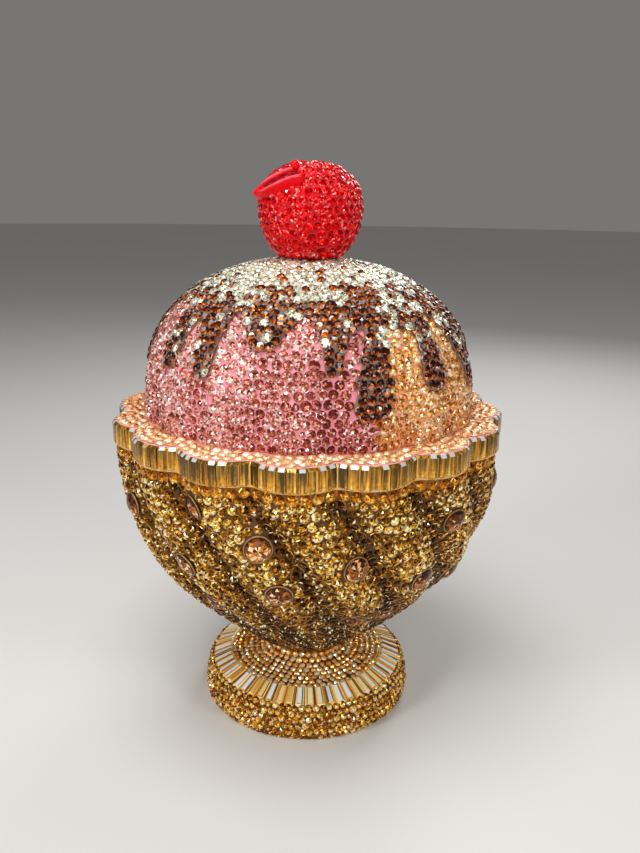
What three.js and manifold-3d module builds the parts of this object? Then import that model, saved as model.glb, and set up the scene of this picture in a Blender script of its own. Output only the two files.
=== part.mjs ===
// An ice cream sundae made as a jewelled ornament: a footed bowl with twisted lobes and a scalloped
// rim, a two-colour scoop under chocolate syrup, and a cherry with an enamelled leaf on top.
// Millimetres, +Z up, the origin at the middle of the flat underside. The azimuth of a point is
// measured from the front (-Y) towards +X.

import * as THREE from 'three';
import * as BufferGeometryUtils from 'three/addons/utils/BufferGeometryUtils.js';
import Module from 'manifold-3d';

const wasm = await Module();
wasm.setup();

// ---------------------------------------------------------------- driving dimensions

const GAP = 0.3; // clearance between pieces that touch
const LOBES = 16; // scallops of the rim, lobes of the bowl and flutes of the scoops
const CUSP_AZIMUTH = 8.3; // degrees, the first valley between two lobes
const STEPS_PER_LOBE = 4; // flat faces across one lobe of the bowl and rim
const STEPS_PER_FLUTE = 3; // flat faces across one flute of the scoop

const FOOT_TOP = 18.6;
const FOOT_RADIUS = 34.6;
const FOOT_NECK = 12.3; // radius of the narrowest part, under the bowl
const FOOT_NECK_HEIGHT = 16.2;
const FOOT_DECK = 13.9; // height of the nearly flat top round the neck
const FOOT_STEPS = 40;
const FOOT_STONES = 60; // long stones laid like rays round the foot
const FOOT_STONE_INNER = 25.8;
const FOOT_STONE_OUTER = 32.7;
const FOOT_STONE_TOP_INNER = 13.5;
const FOOT_STONE_TOP_OUTER = 10.6;
const FOOT_STONE_DEPTH = 2.2; // from the middle of a long stone's top down to its keel
const FOOT_GROOVE = 0.7; // depth of the groove between two stones

const BOWL_BOTTOM = 18.9;
const BOWL_TOP = 88.2;
const BOWL_OUTLINE = [ // radius and height along the crest of a lobe
  [13.2, BOWL_BOTTOM],
  [22.8, 25.6],
  [39.4, 41.4],
  [49.8, 53.4],
  [55.4, 64.4],
  [58.5, 76.4],
  [59.6, BOWL_TOP],
];
const BOWL_ROWS = 9;
const BOWL_TWIST = 0.6; // degrees of turn for each millimetre below the rim
const LOBE_DEPTH = 0.066; // depth of a valley as a share of the radius
const LOBE_FADE = 18; // height above the bottom over which the lobes grow to full depth

const BOWL_STONE_RADIUS = 4.1;
const BOWL_STONE_SIDES = 8;
const BOWL_STONE_PROUD = 1.1; // how far its table stands out of the bowl
const BOWL_STONE_POCKET = 1.6; // how deep it sits in the bowl
const BOWL_STONE_TABLE = 0.58; // its flat table as a share of its radius
const SEAT_REACH = 3.0; // how far round a seat the slope of the bowl is taken
const BOWL_STONES = [ // azimuth in degrees and height of each large set stone
  [-60.7, 76.0],
  [-36.7, 65.0],
  [-36.2, 49.0],
  [-31.0, 84.0],
  [-12.1, 75.2],
  [-7.2, 60.6],
  [14.1, 68.9],
  [18.3, 47.0],
  [36.0, 43.0],
  [37.6, 60.6],
  [44.9, 77.6],
  [59.0, 54.5],
  [70.0, 82.5],
  [104, 66],
  [136, 52],
  [158, 79],
  [189, 63],
  [222, 76],
  [254, 57],
];

const COLLAR_BOTTOM = 88.5;
const COLLAR_TOP = 91.6;
const RIM_RADIUS = 60.4; // at the crest of a scallop
const CUSP_RADIUS = 56.2; // at the valley between two scallops
const RIM_STONE_BOTTOM = 91.9;
const RIM_STONE_TOP = 98.3;
const RIM_STONES_PER_LOBE = 9;
const RIM_STONE_BEVEL = 1.2;
const RIM_GROOVE = 0.7;
const COLLAR_SET_BACK = 0.5; // how far the bulge of the collar stays behind the rim
const TRAY_SLOPE = 0.8;
const TRAY_BOTTOM = 98.6;
const TRAY_TOP = 99.3;

const SCOOP_BOTTOM = 99.6;
const SCOOP_RADIUS = 50.9;
const SCOOP_HEIGHT = 44.2;
const SCOOP_POWER_UP = 2.38; // powers of the rounded outline: r = R (1 - u^a)^(1/b)
const SCOOP_POWER_OUT = 2.32;
const SCOOP_ROWS = 8;
const FLUTE_DEPTH = 1.9; // depth of the upright flutes where the scoop meets the tray
const FLUTE_TOP = 30; // height above the tray at which the flutes fade out
const COLOUR_AZIMUTH = 22; // the plane between the strawberry and the peach half

const SYRUP_THICKNESS = 1.0;
const SYRUP_EDGE = 133.8; // the lowest height that the syrup covers all round
const DRIP_ROOT = 135.5; // a drip starts this high, inside the part that is covered all round
const DRIP_CUT_START = 12; // the drips are cut from the skin from this far off the axis outwards
const DRIPS = [ // azimuth, lean from root to tip, half-widths of root, waist and tip, tip height
  [-51.5, -1.5, 6.0, 3.4, 3.0, 117.0],
  [-37.0, 1.0, 6.0, 3.6, 3.0, 116.2],
  [-14.5, 0, 12.0, 8.4, 4.8, 124.6],
  [11.0, -2.6, 9.0, 3.6, 2.1, 118.8],
  [26.0, -5.6, 5.6, 2.0, 5.7, 107.0],
  [35.5, 0, 7.6, 7.2, 3.0, 129.4],
  [46.5, -1.2, 6.0, 2.4, 4.8, 113.0],
  [68.0, 2.0, 9.0, 6.5, 4.6, 110.5],
  [92.0, 0, 7.0, 4.0, 4.2, 119.0],
  [116.0, -2.0, 7.8, 3.4, 4.4, 108.5],
  [141.0, 2.0, 9.2, 5.0, 4.4, 121.5],
  [166.0, -1.0, 7.4, 3.8, 4.6, 111.0],
  [191.0, 1.5, 8.4, 4.6, 3.4, 117.5],
  [216.0, 0, 8.6, 3.6, 5.2, 107.5],
  [241.0, -1.5, 7.8, 4.2, 4.0, 120.0],
  [267.0, 1.0, 9.0, 4.8, 4.6, 112.5],
];

const CHERRY_BOTTOM = 145.4;
const CHERRY_MIDDLE = 159.0; // where it is widest
const CHERRY_TOP = 172.2;
const CHERRY_RADIUS = 15.5;
const CHERRY_FLAT = 9.6; // radius of the flat on which it stands
const CHERRY_CROWN = 0.3; // radius of the crown round the dimple as a share of the cherry's
const CHERRY_SHOULDER = 2.3; // power of the outline above the middle; 2 is an ellipse
const CHERRY_DIMPLE = 2.2;
const CHERRY_ROWS_BELOW = 5;
const CHERRY_ROWS_ABOVE = 6;
const CHERRY_STEPS = 32;

const LEAF_POINTS = [ // the leaf's fold from its stalk, over the cherry's shoulder, to its tip
  [-1.9, -11.6, 168.6],
  [-5.8, -11.8, 167.8],
  [-9.6, -10.6, 166.2],
  [-12.8, -8.0, 164.4],
  [-15.9, -3.8, 162.6],
];
const LEAF_HALF_WIDTH = 2.35;
const LEAF_LOWER_SHARE = 0.25; // how much wider the leaf is below its fold than above it
const LEAF_THICKNESS = 1.3;
const LEAF_FOLD = 1.4; // how far the two edges of the leaf rise from its fold
const LEAF_STEPS = 9;
const STALK_RADIUS = 1.4;
const STALK_START = [-1.4, -6.6, 170.4];
const STALK_END = [-4.2, -10.8, 170.5];

// ---------------------------------------------------------------- shared shaping

const rad = THREE.MathUtils.degToRad;

// One closed body of a geometry: shared vertices merged, triangles without area left out.
function closed(geometry) {
  geometry.deleteAttribute('normal');
  geometry.deleteAttribute('uv');
  const merged = BufferGeometryUtils.mergeVertices(geometry, 1e-4);
  const index = merged.index.array;
  const kept = [];
  for (let i = 0; i < index.length; i += 3) {
    const [a, b, c] = [index[i], index[i + 1], index[i + 2]];
    if (a !== b && b !== c && c !== a) {
      kept.push(a, b, c);
    }
  }
  merged.setIndex(kept);
  return merged;
}

function toSolid(geometry) {
  return new wasm.Manifold(new wasm.Mesh({
    numProp: 3,
    vertProperties: new Float32Array(geometry.attributes.position.array),
    triVerts: new Uint32Array(geometry.index.array),
  }));
}

function fromSolid(solid) {
  const mesh = solid.getMesh();
  const geometry = new THREE.BufferGeometry();
  geometry.setAttribute('position', new THREE.BufferAttribute(mesh.vertProperties, 3));
  geometry.setIndex(new THREE.BufferAttribute(mesh.triVerts, 1));
  return geometry;
}

// A body turned about +Z from an outline of [radius, height] points, bottom to top.
function turned(outline, steps, firstAzimuth = 0) {
  const points = outline.map(([radius, height]) => new THREE.Vector2(radius, height));
  const geometry = new THREE.LatheGeometry(points, steps, rad(firstAzimuth), 2 * Math.PI);
  geometry.rotateX(Math.PI / 2);
  return closed(geometry);
}

// Moves each point of a geometry to what change(radius, azimuth, height) returns.
function reshaped(geometry, change) {
  const position = geometry.attributes.position;
  for (let i = 0; i < position.count; i += 1) {
    const x = position.getX(i);
    const y = position.getY(i);
    const height = position.getZ(i);
    const [r, a, z] = change(Math.hypot(x, y), Math.atan2(x, -y), height);
    position.setXYZ(i, r * Math.sin(a), -r * Math.cos(a), z);
  }
  return geometry;
}

// 1 at the crest of a lobe, 0 in the valley between two, round in between.
function lobe(azimuth) {
  const turn = (azimuth - rad(CUSP_AZIMUTH)) * LOBES / (2 * Math.PI);
  const across = 2 * (turn - Math.floor(turn)) - 1;
  return 1 - across * across;
}

function fade(value, low, high) {
  return THREE.MathUtils.smoothstep(value, low, high);
}

// Half the width of the scoop at a height, before its flutes.
function scoopRadius(height, grow = 0) {
  const u = Math.min(Math.max((height - SCOOP_BOTTOM) / (SCOOP_HEIGHT + grow), 0), 1);
  return (SCOOP_RADIUS + grow) * (1 - u ** SCOOP_POWER_UP) ** (1 / SCOOP_POWER_OUT);
}

// The scoop's outline from its base to its top, with its points closer together near the top.
function scoopOutline(grow) {
  const outline = [[0, SCOOP_BOTTOM]];
  for (let i = 0; i <= SCOOP_ROWS; i += 1) {
    const angle = (i / SCOOP_ROWS) * Math.PI / 2;
    const height = SCOOP_BOTTOM + (SCOOP_HEIGHT + grow) * Math.sin(angle) ** 0.92;
    outline.push([i === SCOOP_ROWS ? 0 : scoopRadius(height, grow), height]);
  }
  return outline;
}

function fluted(radius, azimuth, height) {
  const depth = FLUTE_DEPTH * (1 - fade(height, SCOOP_BOTTOM, SCOOP_BOTTOM + FLUTE_TOP));
  const share = Math.min(radius / SCOOP_RADIUS, 1);
  return [radius - depth * share * (1 - lobe(azimuth)), azimuth, height];
}

function scoopBody(grow) {
  const steps = LOBES * STEPS_PER_FLUTE;
  return reshaped(turned(scoopOutline(grow), steps, CUSP_AZIMUTH), fluted);
}

// Draws a ring in from its crests to its cusps along the scallops.
function scalloped(radius, azimuth) {
  const cusp = CUSP_RADIUS / RIM_RADIUS;
  return radius * (cusp + (1 - cusp) * lobe(azimuth));
}

// ---------------------------------------------------------------- the pieces

function footBody() {
  const keel = (FOOT_STONE_INNER + FOOT_STONE_OUTER) / 2;
  const keelHeight = (FOOT_STONE_TOP_INNER + FOOT_STONE_TOP_OUTER) / 2 - FOOT_STONE_DEPTH;
  const lip = 0.5; // the rims that hold the long stones are this wide
  return turned([
    [0, 0],
    [FOOT_RADIUS - lip, 0],
    [FOOT_RADIUS, 2.4],
    [FOOT_RADIUS - lip, 6.4],
    [FOOT_STONE_OUTER + lip, FOOT_STONE_TOP_OUTER - 2 * lip],
    [keel, keelHeight - 2 * lip],
    [FOOT_STONE_INNER - lip, FOOT_STONE_TOP_INNER - lip],
    [FOOT_NECK + 7, FOOT_DECK],
    [FOOT_NECK + 2.6, FOOT_DECK + lip],
    [FOOT_NECK, FOOT_NECK_HEIGHT],
    [FOOT_NECK + lip, FOOT_TOP],
    [0, FOOT_TOP],
  ], FOOT_STEPS);
}

// True for every third column of a ring: set back, these part it into rows of long flat stones.
function isGroove(azimuth, stones, first) {
  const column = Math.round((azimuth - rad(first)) / (2 * Math.PI) * stones * 3);
  return ((column % 3) + 3) % 3 === 0;
}

function footStones() {
  const keel = (FOOT_STONE_INNER + FOOT_STONE_OUTER) / 2;
  const keelHeight = (FOOT_STONE_TOP_INNER + FOOT_STONE_TOP_OUTER) / 2 - FOOT_STONE_DEPTH;
  const ring = turned([
    [keel, keelHeight],
    [FOOT_STONE_OUTER, FOOT_STONE_TOP_OUTER],
    [FOOT_STONE_INNER, FOOT_STONE_TOP_INNER],
    [keel, keelHeight],
  ], FOOT_STONES * 3);
  return reshaped(ring, (radius, azimuth, height) => {
    const onTop = Math.abs(radius - keel) > FOOT_GROOVE;
    const drop = onTop && isGroove(azimuth, FOOT_STONES, 0) ? FOOT_GROOVE : 0;
    return [radius, azimuth, height - drop];
  });
}

const bowlCurve = new THREE.SplineCurve(BOWL_OUTLINE.map(([r, z]) => new THREE.Vector2(r, z)));

// The bowl's radius at the crest of its lobes.
function bowlRadius(height) {
  let low = 0;
  let high = 1;
  for (let i = 0; i < 30; i += 1) {
    const middle = (low + high) / 2;
    if (bowlCurve.getPoint(middle).y < height) {
      low = middle;
    } else {
      high = middle;
    }
  }
  return bowlCurve.getPoint(low).x;
}

function bowlTwist(height) {
  return rad(BOWL_TWIST * (BOWL_TOP - height));
}

// What a lobe leaves of the bowl's radius; the azimuth is taken before the lobes' twist.
function lobeScale(azimuth, height) {
  const depth = LOBE_DEPTH * fade(height, BOWL_BOTTOM, BOWL_BOTTOM + LOBE_FADE);
  return 1 - depth * (1 - lobe(azimuth));
}

function bowlSurface(azimuth, height) {
  return bowlRadius(height) * lobeScale(azimuth - bowlTwist(height), height);
}

// Where a set stone sits: its place on the bowl and the turn that makes its +Z face outwards.
function stoneSeat([azimuthDegrees, height]) {
  const azimuth = rad(azimuthDegrees);
  const at = (a, z) => {
    const r = bowlSurface(a, z);
    return new THREE.Vector3(r * Math.sin(a), -r * Math.cos(a), z);
  };
  const angle = SEAT_REACH / bowlSurface(azimuth, height);
  const across = at(azimuth + angle, height).sub(at(azimuth - angle, height));
  const up = at(azimuth, height + SEAT_REACH).sub(at(azimuth, height - SEAT_REACH));
  const facing = across.clone().cross(up).normalize();
  const turn = new THREE.Quaternion().setFromUnitVectors(new THREE.Vector3(0, 0, 1), facing);
  return { place: at(azimuth, height), turn };
}

function bowlBody(seats) {
  const outline = [[0, BOWL_BOTTOM]];
  for (let i = 0; i <= BOWL_ROWS; i += 1) {
    const point = bowlCurve.getPointAt(i / BOWL_ROWS);
    outline.push([point.x, point.y]);
  }
  outline.push([0, BOWL_TOP]);
  const body = turned(outline, LOBES * STEPS_PER_LOBE, CUSP_AZIMUTH);
  let bowl = toSolid(reshaped(body, (radius, azimuth, height) => {
    return [radius * lobeScale(azimuth, height), azimuth + bowlTwist(height), height];
  }));
  const radius = BOWL_STONE_RADIUS + GAP;
  const clear = 4; // the cutter reaches this far out of the bowl
  for (const { place, turn } of seats) {
    const pocket = turned([
      [0, -BOWL_STONE_POCKET - GAP],
      [radius, -BOWL_STONE_POCKET - GAP],
      [radius, clear],
      [0, clear],
    ], BOWL_STONE_SIDES);
    pocket.applyQuaternion(turn);
    pocket.translate(place.x, place.y, place.z);
    bowl = bowl.subtract(toSolid(pocket));
  }
  return fromSolid(bowl);
}

// A large cut stone on its own axis +Z: a low drum, a sloping crown and a flat table.
function setStone() {
  return turned([
    [0, -BOWL_STONE_POCKET],
    [BOWL_STONE_RADIUS, -BOWL_STONE_POCKET],
    [BOWL_STONE_RADIUS, 0.1],
    [BOWL_STONE_RADIUS * BOWL_STONE_TABLE, BOWL_STONE_PROUD],
    [0, BOWL_STONE_PROUD],
  ], BOWL_STONE_SIDES);
}

function rimDisc(outline) {
  const disc = turned(outline, LOBES * STEPS_PER_LOBE, CUSP_AZIMUTH);
  return reshaped(disc, (radius, azimuth, height) => [scalloped(radius, azimuth), azimuth, height]);
}

function collarBody() {
  return rimDisc([
    [0, COLLAR_BOTTOM],
    [RIM_RADIUS - 2.4 * COLLAR_SET_BACK, COLLAR_BOTTOM],
    [RIM_RADIUS - COLLAR_SET_BACK, (COLLAR_BOTTOM + COLLAR_TOP) / 2],
    [RIM_RADIUS - 2 * COLLAR_SET_BACK, COLLAR_TOP],
    [0, COLLAR_TOP],
  ]);
}

// Upright long stones side by side all along the scallops, on one disc that they share.
function rimStones() {
  const stones = LOBES * RIM_STONES_PER_LOBE;
  const band = turned([
    [0, RIM_STONE_BOTTOM],
    [RIM_RADIUS, RIM_STONE_BOTTOM],
    [RIM_RADIUS, RIM_STONE_TOP - RIM_STONE_BEVEL],
    [RIM_RADIUS - RIM_STONE_BEVEL, RIM_STONE_TOP],
    [0, RIM_STONE_TOP],
  ], stones * 3, CUSP_AZIMUTH);
  return reshaped(band, (radius, azimuth, height) => {
    const outside = radius > RIM_RADIUS - 0.1;
    const groove = outside && isGroove(azimuth, stones, CUSP_AZIMUTH) ? RIM_GROOVE : 0;
    return [scalloped(radius, azimuth) - groove, azimuth, height];
  });
}

function trayBody() {
  const edge = RIM_RADIUS - RIM_STONE_BEVEL;
  return rimDisc([
    [0, TRAY_BOTTOM],
    [edge, TRAY_BOTTOM],
    [edge - TRAY_SLOPE, TRAY_TOP],
    [0, TRAY_TOP],
  ]);
}

// Half of the scoop: what lies on one side of the upright plane between the two colours.
function scoopHalf(side) {
  const size = 3 * SCOOP_RADIUS;
  const box = new THREE.BoxGeometry(size, size, size);
  box.translate(side * (size / 2 + GAP / 2), 0, SCOOP_BOTTOM);
  box.rotateZ(rad(COLOUR_AZIMUTH));
  return fromSolid(toSolid(scoopBody(0)).intersect(toSolid(closed(box))));
}

// A drip seen face on: it narrows from its root to a waist and ends in a round tip to one side.
function dripOutline(rootHalf, waistHalf, tipHalf, tipHeight, shift) {
  const neck = tipHeight + tipHalf;
  const drop = DRIP_ROOT - neck;
  const shape = new THREE.Shape();
  shape.moveTo(-rootHalf, DRIP_ROOT);
  shape.bezierCurveTo(
    -waistHalf, DRIP_ROOT - drop * 0.25,
    shift * 0.5 - waistHalf, neck + drop * 0.4,
    shift - tipHalf, neck,
  );
  shape.absarc(shift, neck, tipHalf, Math.PI, 2 * Math.PI, false);
  shape.bezierCurveTo(
    shift * 0.5 + waistHalf, neck + drop * 0.4,
    waistHalf, DRIP_ROOT - drop * 0.25,
    rootHalf, DRIP_ROOT,
  );
  shape.closePath();
  return shape;
}

function dripCutter([azimuth, lean, rootHalf, waistHalf, tipHalf, tipHeight]) {
  const shift = rad(lean) * SCOOP_RADIUS;
  const outline = dripOutline(rootHalf, waistHalf, tipHalf, tipHeight, shift);
  const prism = new THREE.ExtrudeGeometry(outline, {
    depth: SCOOP_RADIUS,
    bevelEnabled: false,
    curveSegments: 3,
  });
  prism.rotateX(Math.PI / 2);
  prism.translate(0, -DRIP_CUT_START, 0);
  prism.rotateZ(rad(azimuth));
  return toSolid(closed(prism));
}

// A skin of even thickness over the scoop, kept where the syrup covers the top and runs down.
function syrupBody() {
  const outer = toSolid(scoopBody(SYRUP_THICKNESS + GAP));
  const inner = toSolid(scoopBody(GAP));
  const reach = SCOOP_RADIUS + SYRUP_THICKNESS + 2;
  const above = new THREE.BoxGeometry(2 * reach, 2 * reach, SCOOP_HEIGHT);
  above.translate(0, 0, SYRUP_EDGE + SCOOP_HEIGHT / 2);
  let covered = toSolid(closed(above));
  for (const drip of DRIPS) {
    covered = covered.add(dripCutter(drip));
  }
  return fromSolid(outer.subtract(inner).intersect(covered));
}

// The cherry's outline: an ellipse below its middle, fuller above, with a dimple at the top.
function cherryOutline(grow) {
  const below = (CHERRY_MIDDLE - CHERRY_BOTTOM) / Math.sqrt(1 - (CHERRY_FLAT / CHERRY_RADIUS) ** 2);
  const first = Math.asin((CHERRY_MIDDLE - CHERRY_BOTTOM) / below);
  const outline = [[0, CHERRY_BOTTOM - grow]];
  for (let i = CHERRY_ROWS_BELOW; i > 0; i -= 1) {
    const angle = (i / CHERRY_ROWS_BELOW) * first;
    const drop = i === CHERRY_ROWS_BELOW ? grow : 0;
    const height = CHERRY_MIDDLE - below * Math.sin(angle) - drop;
    outline.push([CHERRY_RADIUS * Math.cos(angle) + grow, height]);
  }
  for (let i = 0; i < CHERRY_ROWS_ABOVE; i += 1) {
    const angle = (i / CHERRY_ROWS_ABOVE) * (Math.PI / 2) * 0.94;
    const rise = Math.sin(angle) ** (2 / CHERRY_SHOULDER);
    const reach = Math.cos(angle) ** (2 / CHERRY_SHOULDER);
    outline.push([
      CHERRY_RADIUS * reach + grow,
      CHERRY_MIDDLE + (CHERRY_TOP - CHERRY_MIDDLE + grow) * rise,
    ]);
  }
  outline.push([CHERRY_RADIUS * CHERRY_CROWN, CHERRY_TOP + grow]);
  outline.push([0, CHERRY_TOP - CHERRY_DIMPLE + grow]);
  return outline;
}

function cherryBody() {
  return turned(cherryOutline(0), CHERRY_STEPS);
}

// The folded section of the leaf: a shallow trough, one unit wide to each side of its fold.
function leafSection() {
  const section = new THREE.Shape();
  const half = LEAF_THICKNESS / 2;
  section.moveTo(-1, LEAF_FOLD - half);
  section.quadraticCurveTo(0, -LEAF_FOLD - half, 1, LEAF_FOLD - half);
  section.lineTo(1, LEAF_FOLD + half);
  section.quadraticCurveTo(0, -LEAF_FOLD + half, -1, LEAF_FOLD + half);
  section.closePath();
  return section;
}

// The leaf drawn out along its curve over the cherry, broad by its stalk and narrow at its tip.
function leafBlade() {
  const curve = new THREE.CatmullRomCurve3(LEAF_POINTS.map((point) => new THREE.Vector3(...point)));
  const heart = new THREE.Vector3(0, 0, CHERRY_MIDDLE);
  const blade = new THREE.ExtrudeGeometry(leafSection(), {
    depth: 1,
    steps: LEAF_STEPS,
    bevelEnabled: false,
    curveSegments: 4,
  });
  const position = blade.attributes.position;
  for (let i = 0; i < position.count; i += 1) {
    const along = THREE.MathUtils.clamp(position.getZ(i), 0, 1);
    const middle = curve.getPointAt(along);
    const tangent = curve.getTangentAt(along);
    const out = middle.clone().sub(heart);
    out.addScaledVector(tangent, -out.dot(tangent)).normalize();
    const side = new THREE.Vector3().crossVectors(out, tangent);
    const taper = Math.sqrt(1 - 0.96 * along ** 2.2);
    const width = LEAF_HALF_WIDTH * taper * (0.86 + 0.14 * Math.sin(Math.PI * along));
    middle.addScaledVector(side, (position.getX(i) + LEAF_LOWER_SHARE) * width);
    middle.addScaledVector(out, position.getY(i) * (0.35 + 0.65 * taper));
    position.setXYZ(i, middle.x, middle.y, middle.z);
  }
  return closed(blade);
}

function stalkStub() {
  const start = new THREE.Vector3(...STALK_START);
  const end = new THREE.Vector3(...STALK_END);
  const stub = new THREE.CapsuleGeometry(STALK_RADIUS, start.distanceTo(end), 3, 8);
  const direction = end.clone().sub(start).normalize();
  stub.applyQuaternion(new THREE.Quaternion().setFromUnitVectors(new THREE.Vector3(0, 1, 0), direction));
  const middle = start.clone().lerp(end, 0.5);
  stub.translate(middle.x, middle.y, middle.z);
  return closed(stub);
}

function leafBody() {
  const cherry = toSolid(turned(cherryOutline(GAP), CHERRY_STEPS));
  const leaf = toSolid(leafBlade()).add(toSolid(stalkStub()));
  return fromSolid(leaf.subtract(cherry));
}

// ---------------------------------------------------------------- assembly

const sundae = new THREE.Group();

function finish(color, roughness, metalness) {
  return new THREE.MeshStandardMaterial({ color, roughness, metalness, flatShading: true });
}

function addPiece(name, geometry, material) {
  const mesh = new THREE.Mesh(geometry, material);
  mesh.name = name;
  sundae.add(mesh);
  return mesh;
}

const goldStones = finish(0xb98a3e, 0.25, 0.6);
const longStones = finish(0xd9b968, 0.15, 0.5);
const brownStones = finish(0x7a3d16, 0.12, 0.3);
const amberStones = finish(0xc98a2c, 0.2, 0.4);
const peachStones = finish(0xe8a070, 0.3, 0.2);
const strawberryStones = finish(0xe38a98, 0.3, 0.2);
const syrupStones = finish(0x5a2a14, 0.2, 0.2);
const redStones = finish(0xc41220, 0.2, 0.2);
const redEnamel = finish(0xd81a28, 0.2, 0);

addPiece('foot', footBody(), goldStones);
addPiece('foot_baguettes', footStones(), longStones);

const seats = BOWL_STONES.map(stoneSeat);
addPiece('bowl', bowlBody(seats), goldStones);
seats.forEach(({ place, turn }, i) => {
  const name = `bowl_stone_${String(i + 1).padStart(2, '0')}`;
  const stone = addPiece(name, setStone(), brownStones);
  stone.position.copy(place);
  stone.quaternion.copy(turn);
});

addPiece('rim_collar', collarBody(), amberStones);
addPiece('rim_baguettes', rimStones(), longStones);
addPiece('rim_tray', trayBody(), peachStones);
addPiece('strawberry_scoop', scoopHalf(-1), strawberryStones);
addPiece('peach_scoop', scoopHalf(1), peachStones);
addPiece('chocolate_syrup', syrupBody(), syrupStones);
addPiece('cherry', cherryBody(), redStones);
addPiece('cherry_leaf', leafBody(), redEnamel);

export default sundae;
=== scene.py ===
"""The looks of a jewelled ice cream sundae ornament: every stone, its clay or gold, the enamel.

Sizes are millimetres until a piece is finished. An azimuth runs from the front (-Y) towards +X.
"""
import math

import bmesh
import bpy
import numpy as np
from mathutils import Matrix, Vector
from mathutils.kdtree import KDTree


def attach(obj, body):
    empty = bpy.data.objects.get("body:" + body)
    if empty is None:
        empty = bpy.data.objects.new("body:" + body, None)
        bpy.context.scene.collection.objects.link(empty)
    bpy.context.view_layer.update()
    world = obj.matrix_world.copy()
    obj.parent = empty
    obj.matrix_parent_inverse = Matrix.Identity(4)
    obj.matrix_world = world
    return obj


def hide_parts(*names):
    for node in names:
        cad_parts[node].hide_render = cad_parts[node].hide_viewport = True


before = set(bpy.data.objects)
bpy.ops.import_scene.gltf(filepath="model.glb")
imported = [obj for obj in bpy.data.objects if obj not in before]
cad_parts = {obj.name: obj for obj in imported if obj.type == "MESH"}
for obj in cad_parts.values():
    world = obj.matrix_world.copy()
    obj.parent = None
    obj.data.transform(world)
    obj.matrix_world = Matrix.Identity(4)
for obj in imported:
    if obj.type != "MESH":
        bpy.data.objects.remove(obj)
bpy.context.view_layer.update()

ops = bmesh.ops
MM = 0.001
TAU = 2 * math.pi
TINY = 1e-4  # closer points are one point
chance = np.random.default_rng(19)

# ---- sizes of the ornament

LOBES = 16  # scallops of the rim, lobes of the bowl, flutes of the scoops
BODY_STEPS = LOBES * 12  # round a body with lobes
CUSP = math.radians(8.3)  # azimuth of the first valley between two lobes
SET_DEEP = 0.5  # the clay and gold lie this far under the outer face of the stones
BEDDED = 0.03  # how deep a stone's back sits in them
EDGE_TOP = 0.1  # facets of a stone whose middle lies lower are its edge

FOOT_OUTLINE = [(0, 0), (33.5, 0), (34.1, 2.4), (33.6, 6.4), (32.9, 9.7), (32.7, 9.9),
                (29.3, 10.9), (25.6, 12.9), (19.3, 13.4), (15.2, 13.9), (12.9, 15.2), (12.0, 16.9),
                (12.3, 18.9), (0, 18.9)]
FOOT_FLANK = [(33.5, 0.2), (34.1, 2.4), (33.6, 6.4), (33.0, 9.3), (32.1, 10.6)]
FOOT_DECK = [(25.6, 12.9), (19.3, 13.45), (15.2, 14.0), (12.9, 15.3), (12.1, 16.8), (12.3, 18.8)]
FOOT_LONG_STONES = 60
FOOT_LONG_INNER, FOOT_LONG_OUTER = (25.6, 13.7), (32.1, 10.9)  # radius and height of their ends
FOOT_PITCH = 2.2  # from one round stone to the next
LIT_SIDE, LIT_HALF = 68, 15  # long stones painted white for the reflection they show there: middle and half-width of their arcs, in degrees

BOWL_OUTLINE = [(13.2, 18.9), (22.8, 25.6), (39.4, 41.4), (49.8, 53.4), (55.4, 64.4), (58.5, 76.4),
                (59.6, 88.2)]
BOWL_TOP = 88.5
BOWL_TWIST = math.radians(0.6)  # turn of the lobes for each millimetre below the rim
LOBE_DEPTH = 0.066  # of a valley, as a share of the radius
LOBE_FADE = 18  # height over which the lobes grow to their full depth
BIG_STONE = 3.55  # radius of the bowl's large stones
BIG_CLEAR = 0.5  # free space round them
BIG_STONES = [  # azimuth in degrees and height
    (-60.7, 76.0), (-36.7, 65.0), (-36.2, 49.0), (-31.0, 84.0), (-12.1, 75.2), (-7.2, 60.6),
    (14.1, 68.9), (18.3, 47.0), (36.0, 43.0), (37.6, 60.6), (44.9, 77.6), (59.0, 54.5),
    (70.0, 82.5), (104, 66), (136, 52), (158, 79), (189, 63), (222, 76), (254, 57)]

RIM_CREST, RIM_CUSP = 60.4, 56.2  # radius of the rim at a crest and in a valley
COLLAR = (88.5, 91.6)  # bottom and top
COLLAR_STONES = 7  # to a lobe
COLLAR_STONE = 1.76  # radius
RIM_LONG = (92.0, 98.7)  # bottom and top of the upright long stones
RIM_LONG_STONES = 9  # to a lobe
TRAY_FLOOR, TRAY_TOP = 98.3, 99.1

SCOOP_BASE = 99.6
SCOOP_RADIUS, SCOOP_HEIGHT = 50.9, 44.2
POWER_UP, POWER_OUT = 2.38, 2.32  # of the scoop's superellipse
FLUTE_DEPTH, FLUTE_TOP = 1.9, 30  # the flutes end this far above the scoop's base
COLOURS_MEET = math.radians(22)  # azimuth of the seam between strawberry and peach

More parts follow.
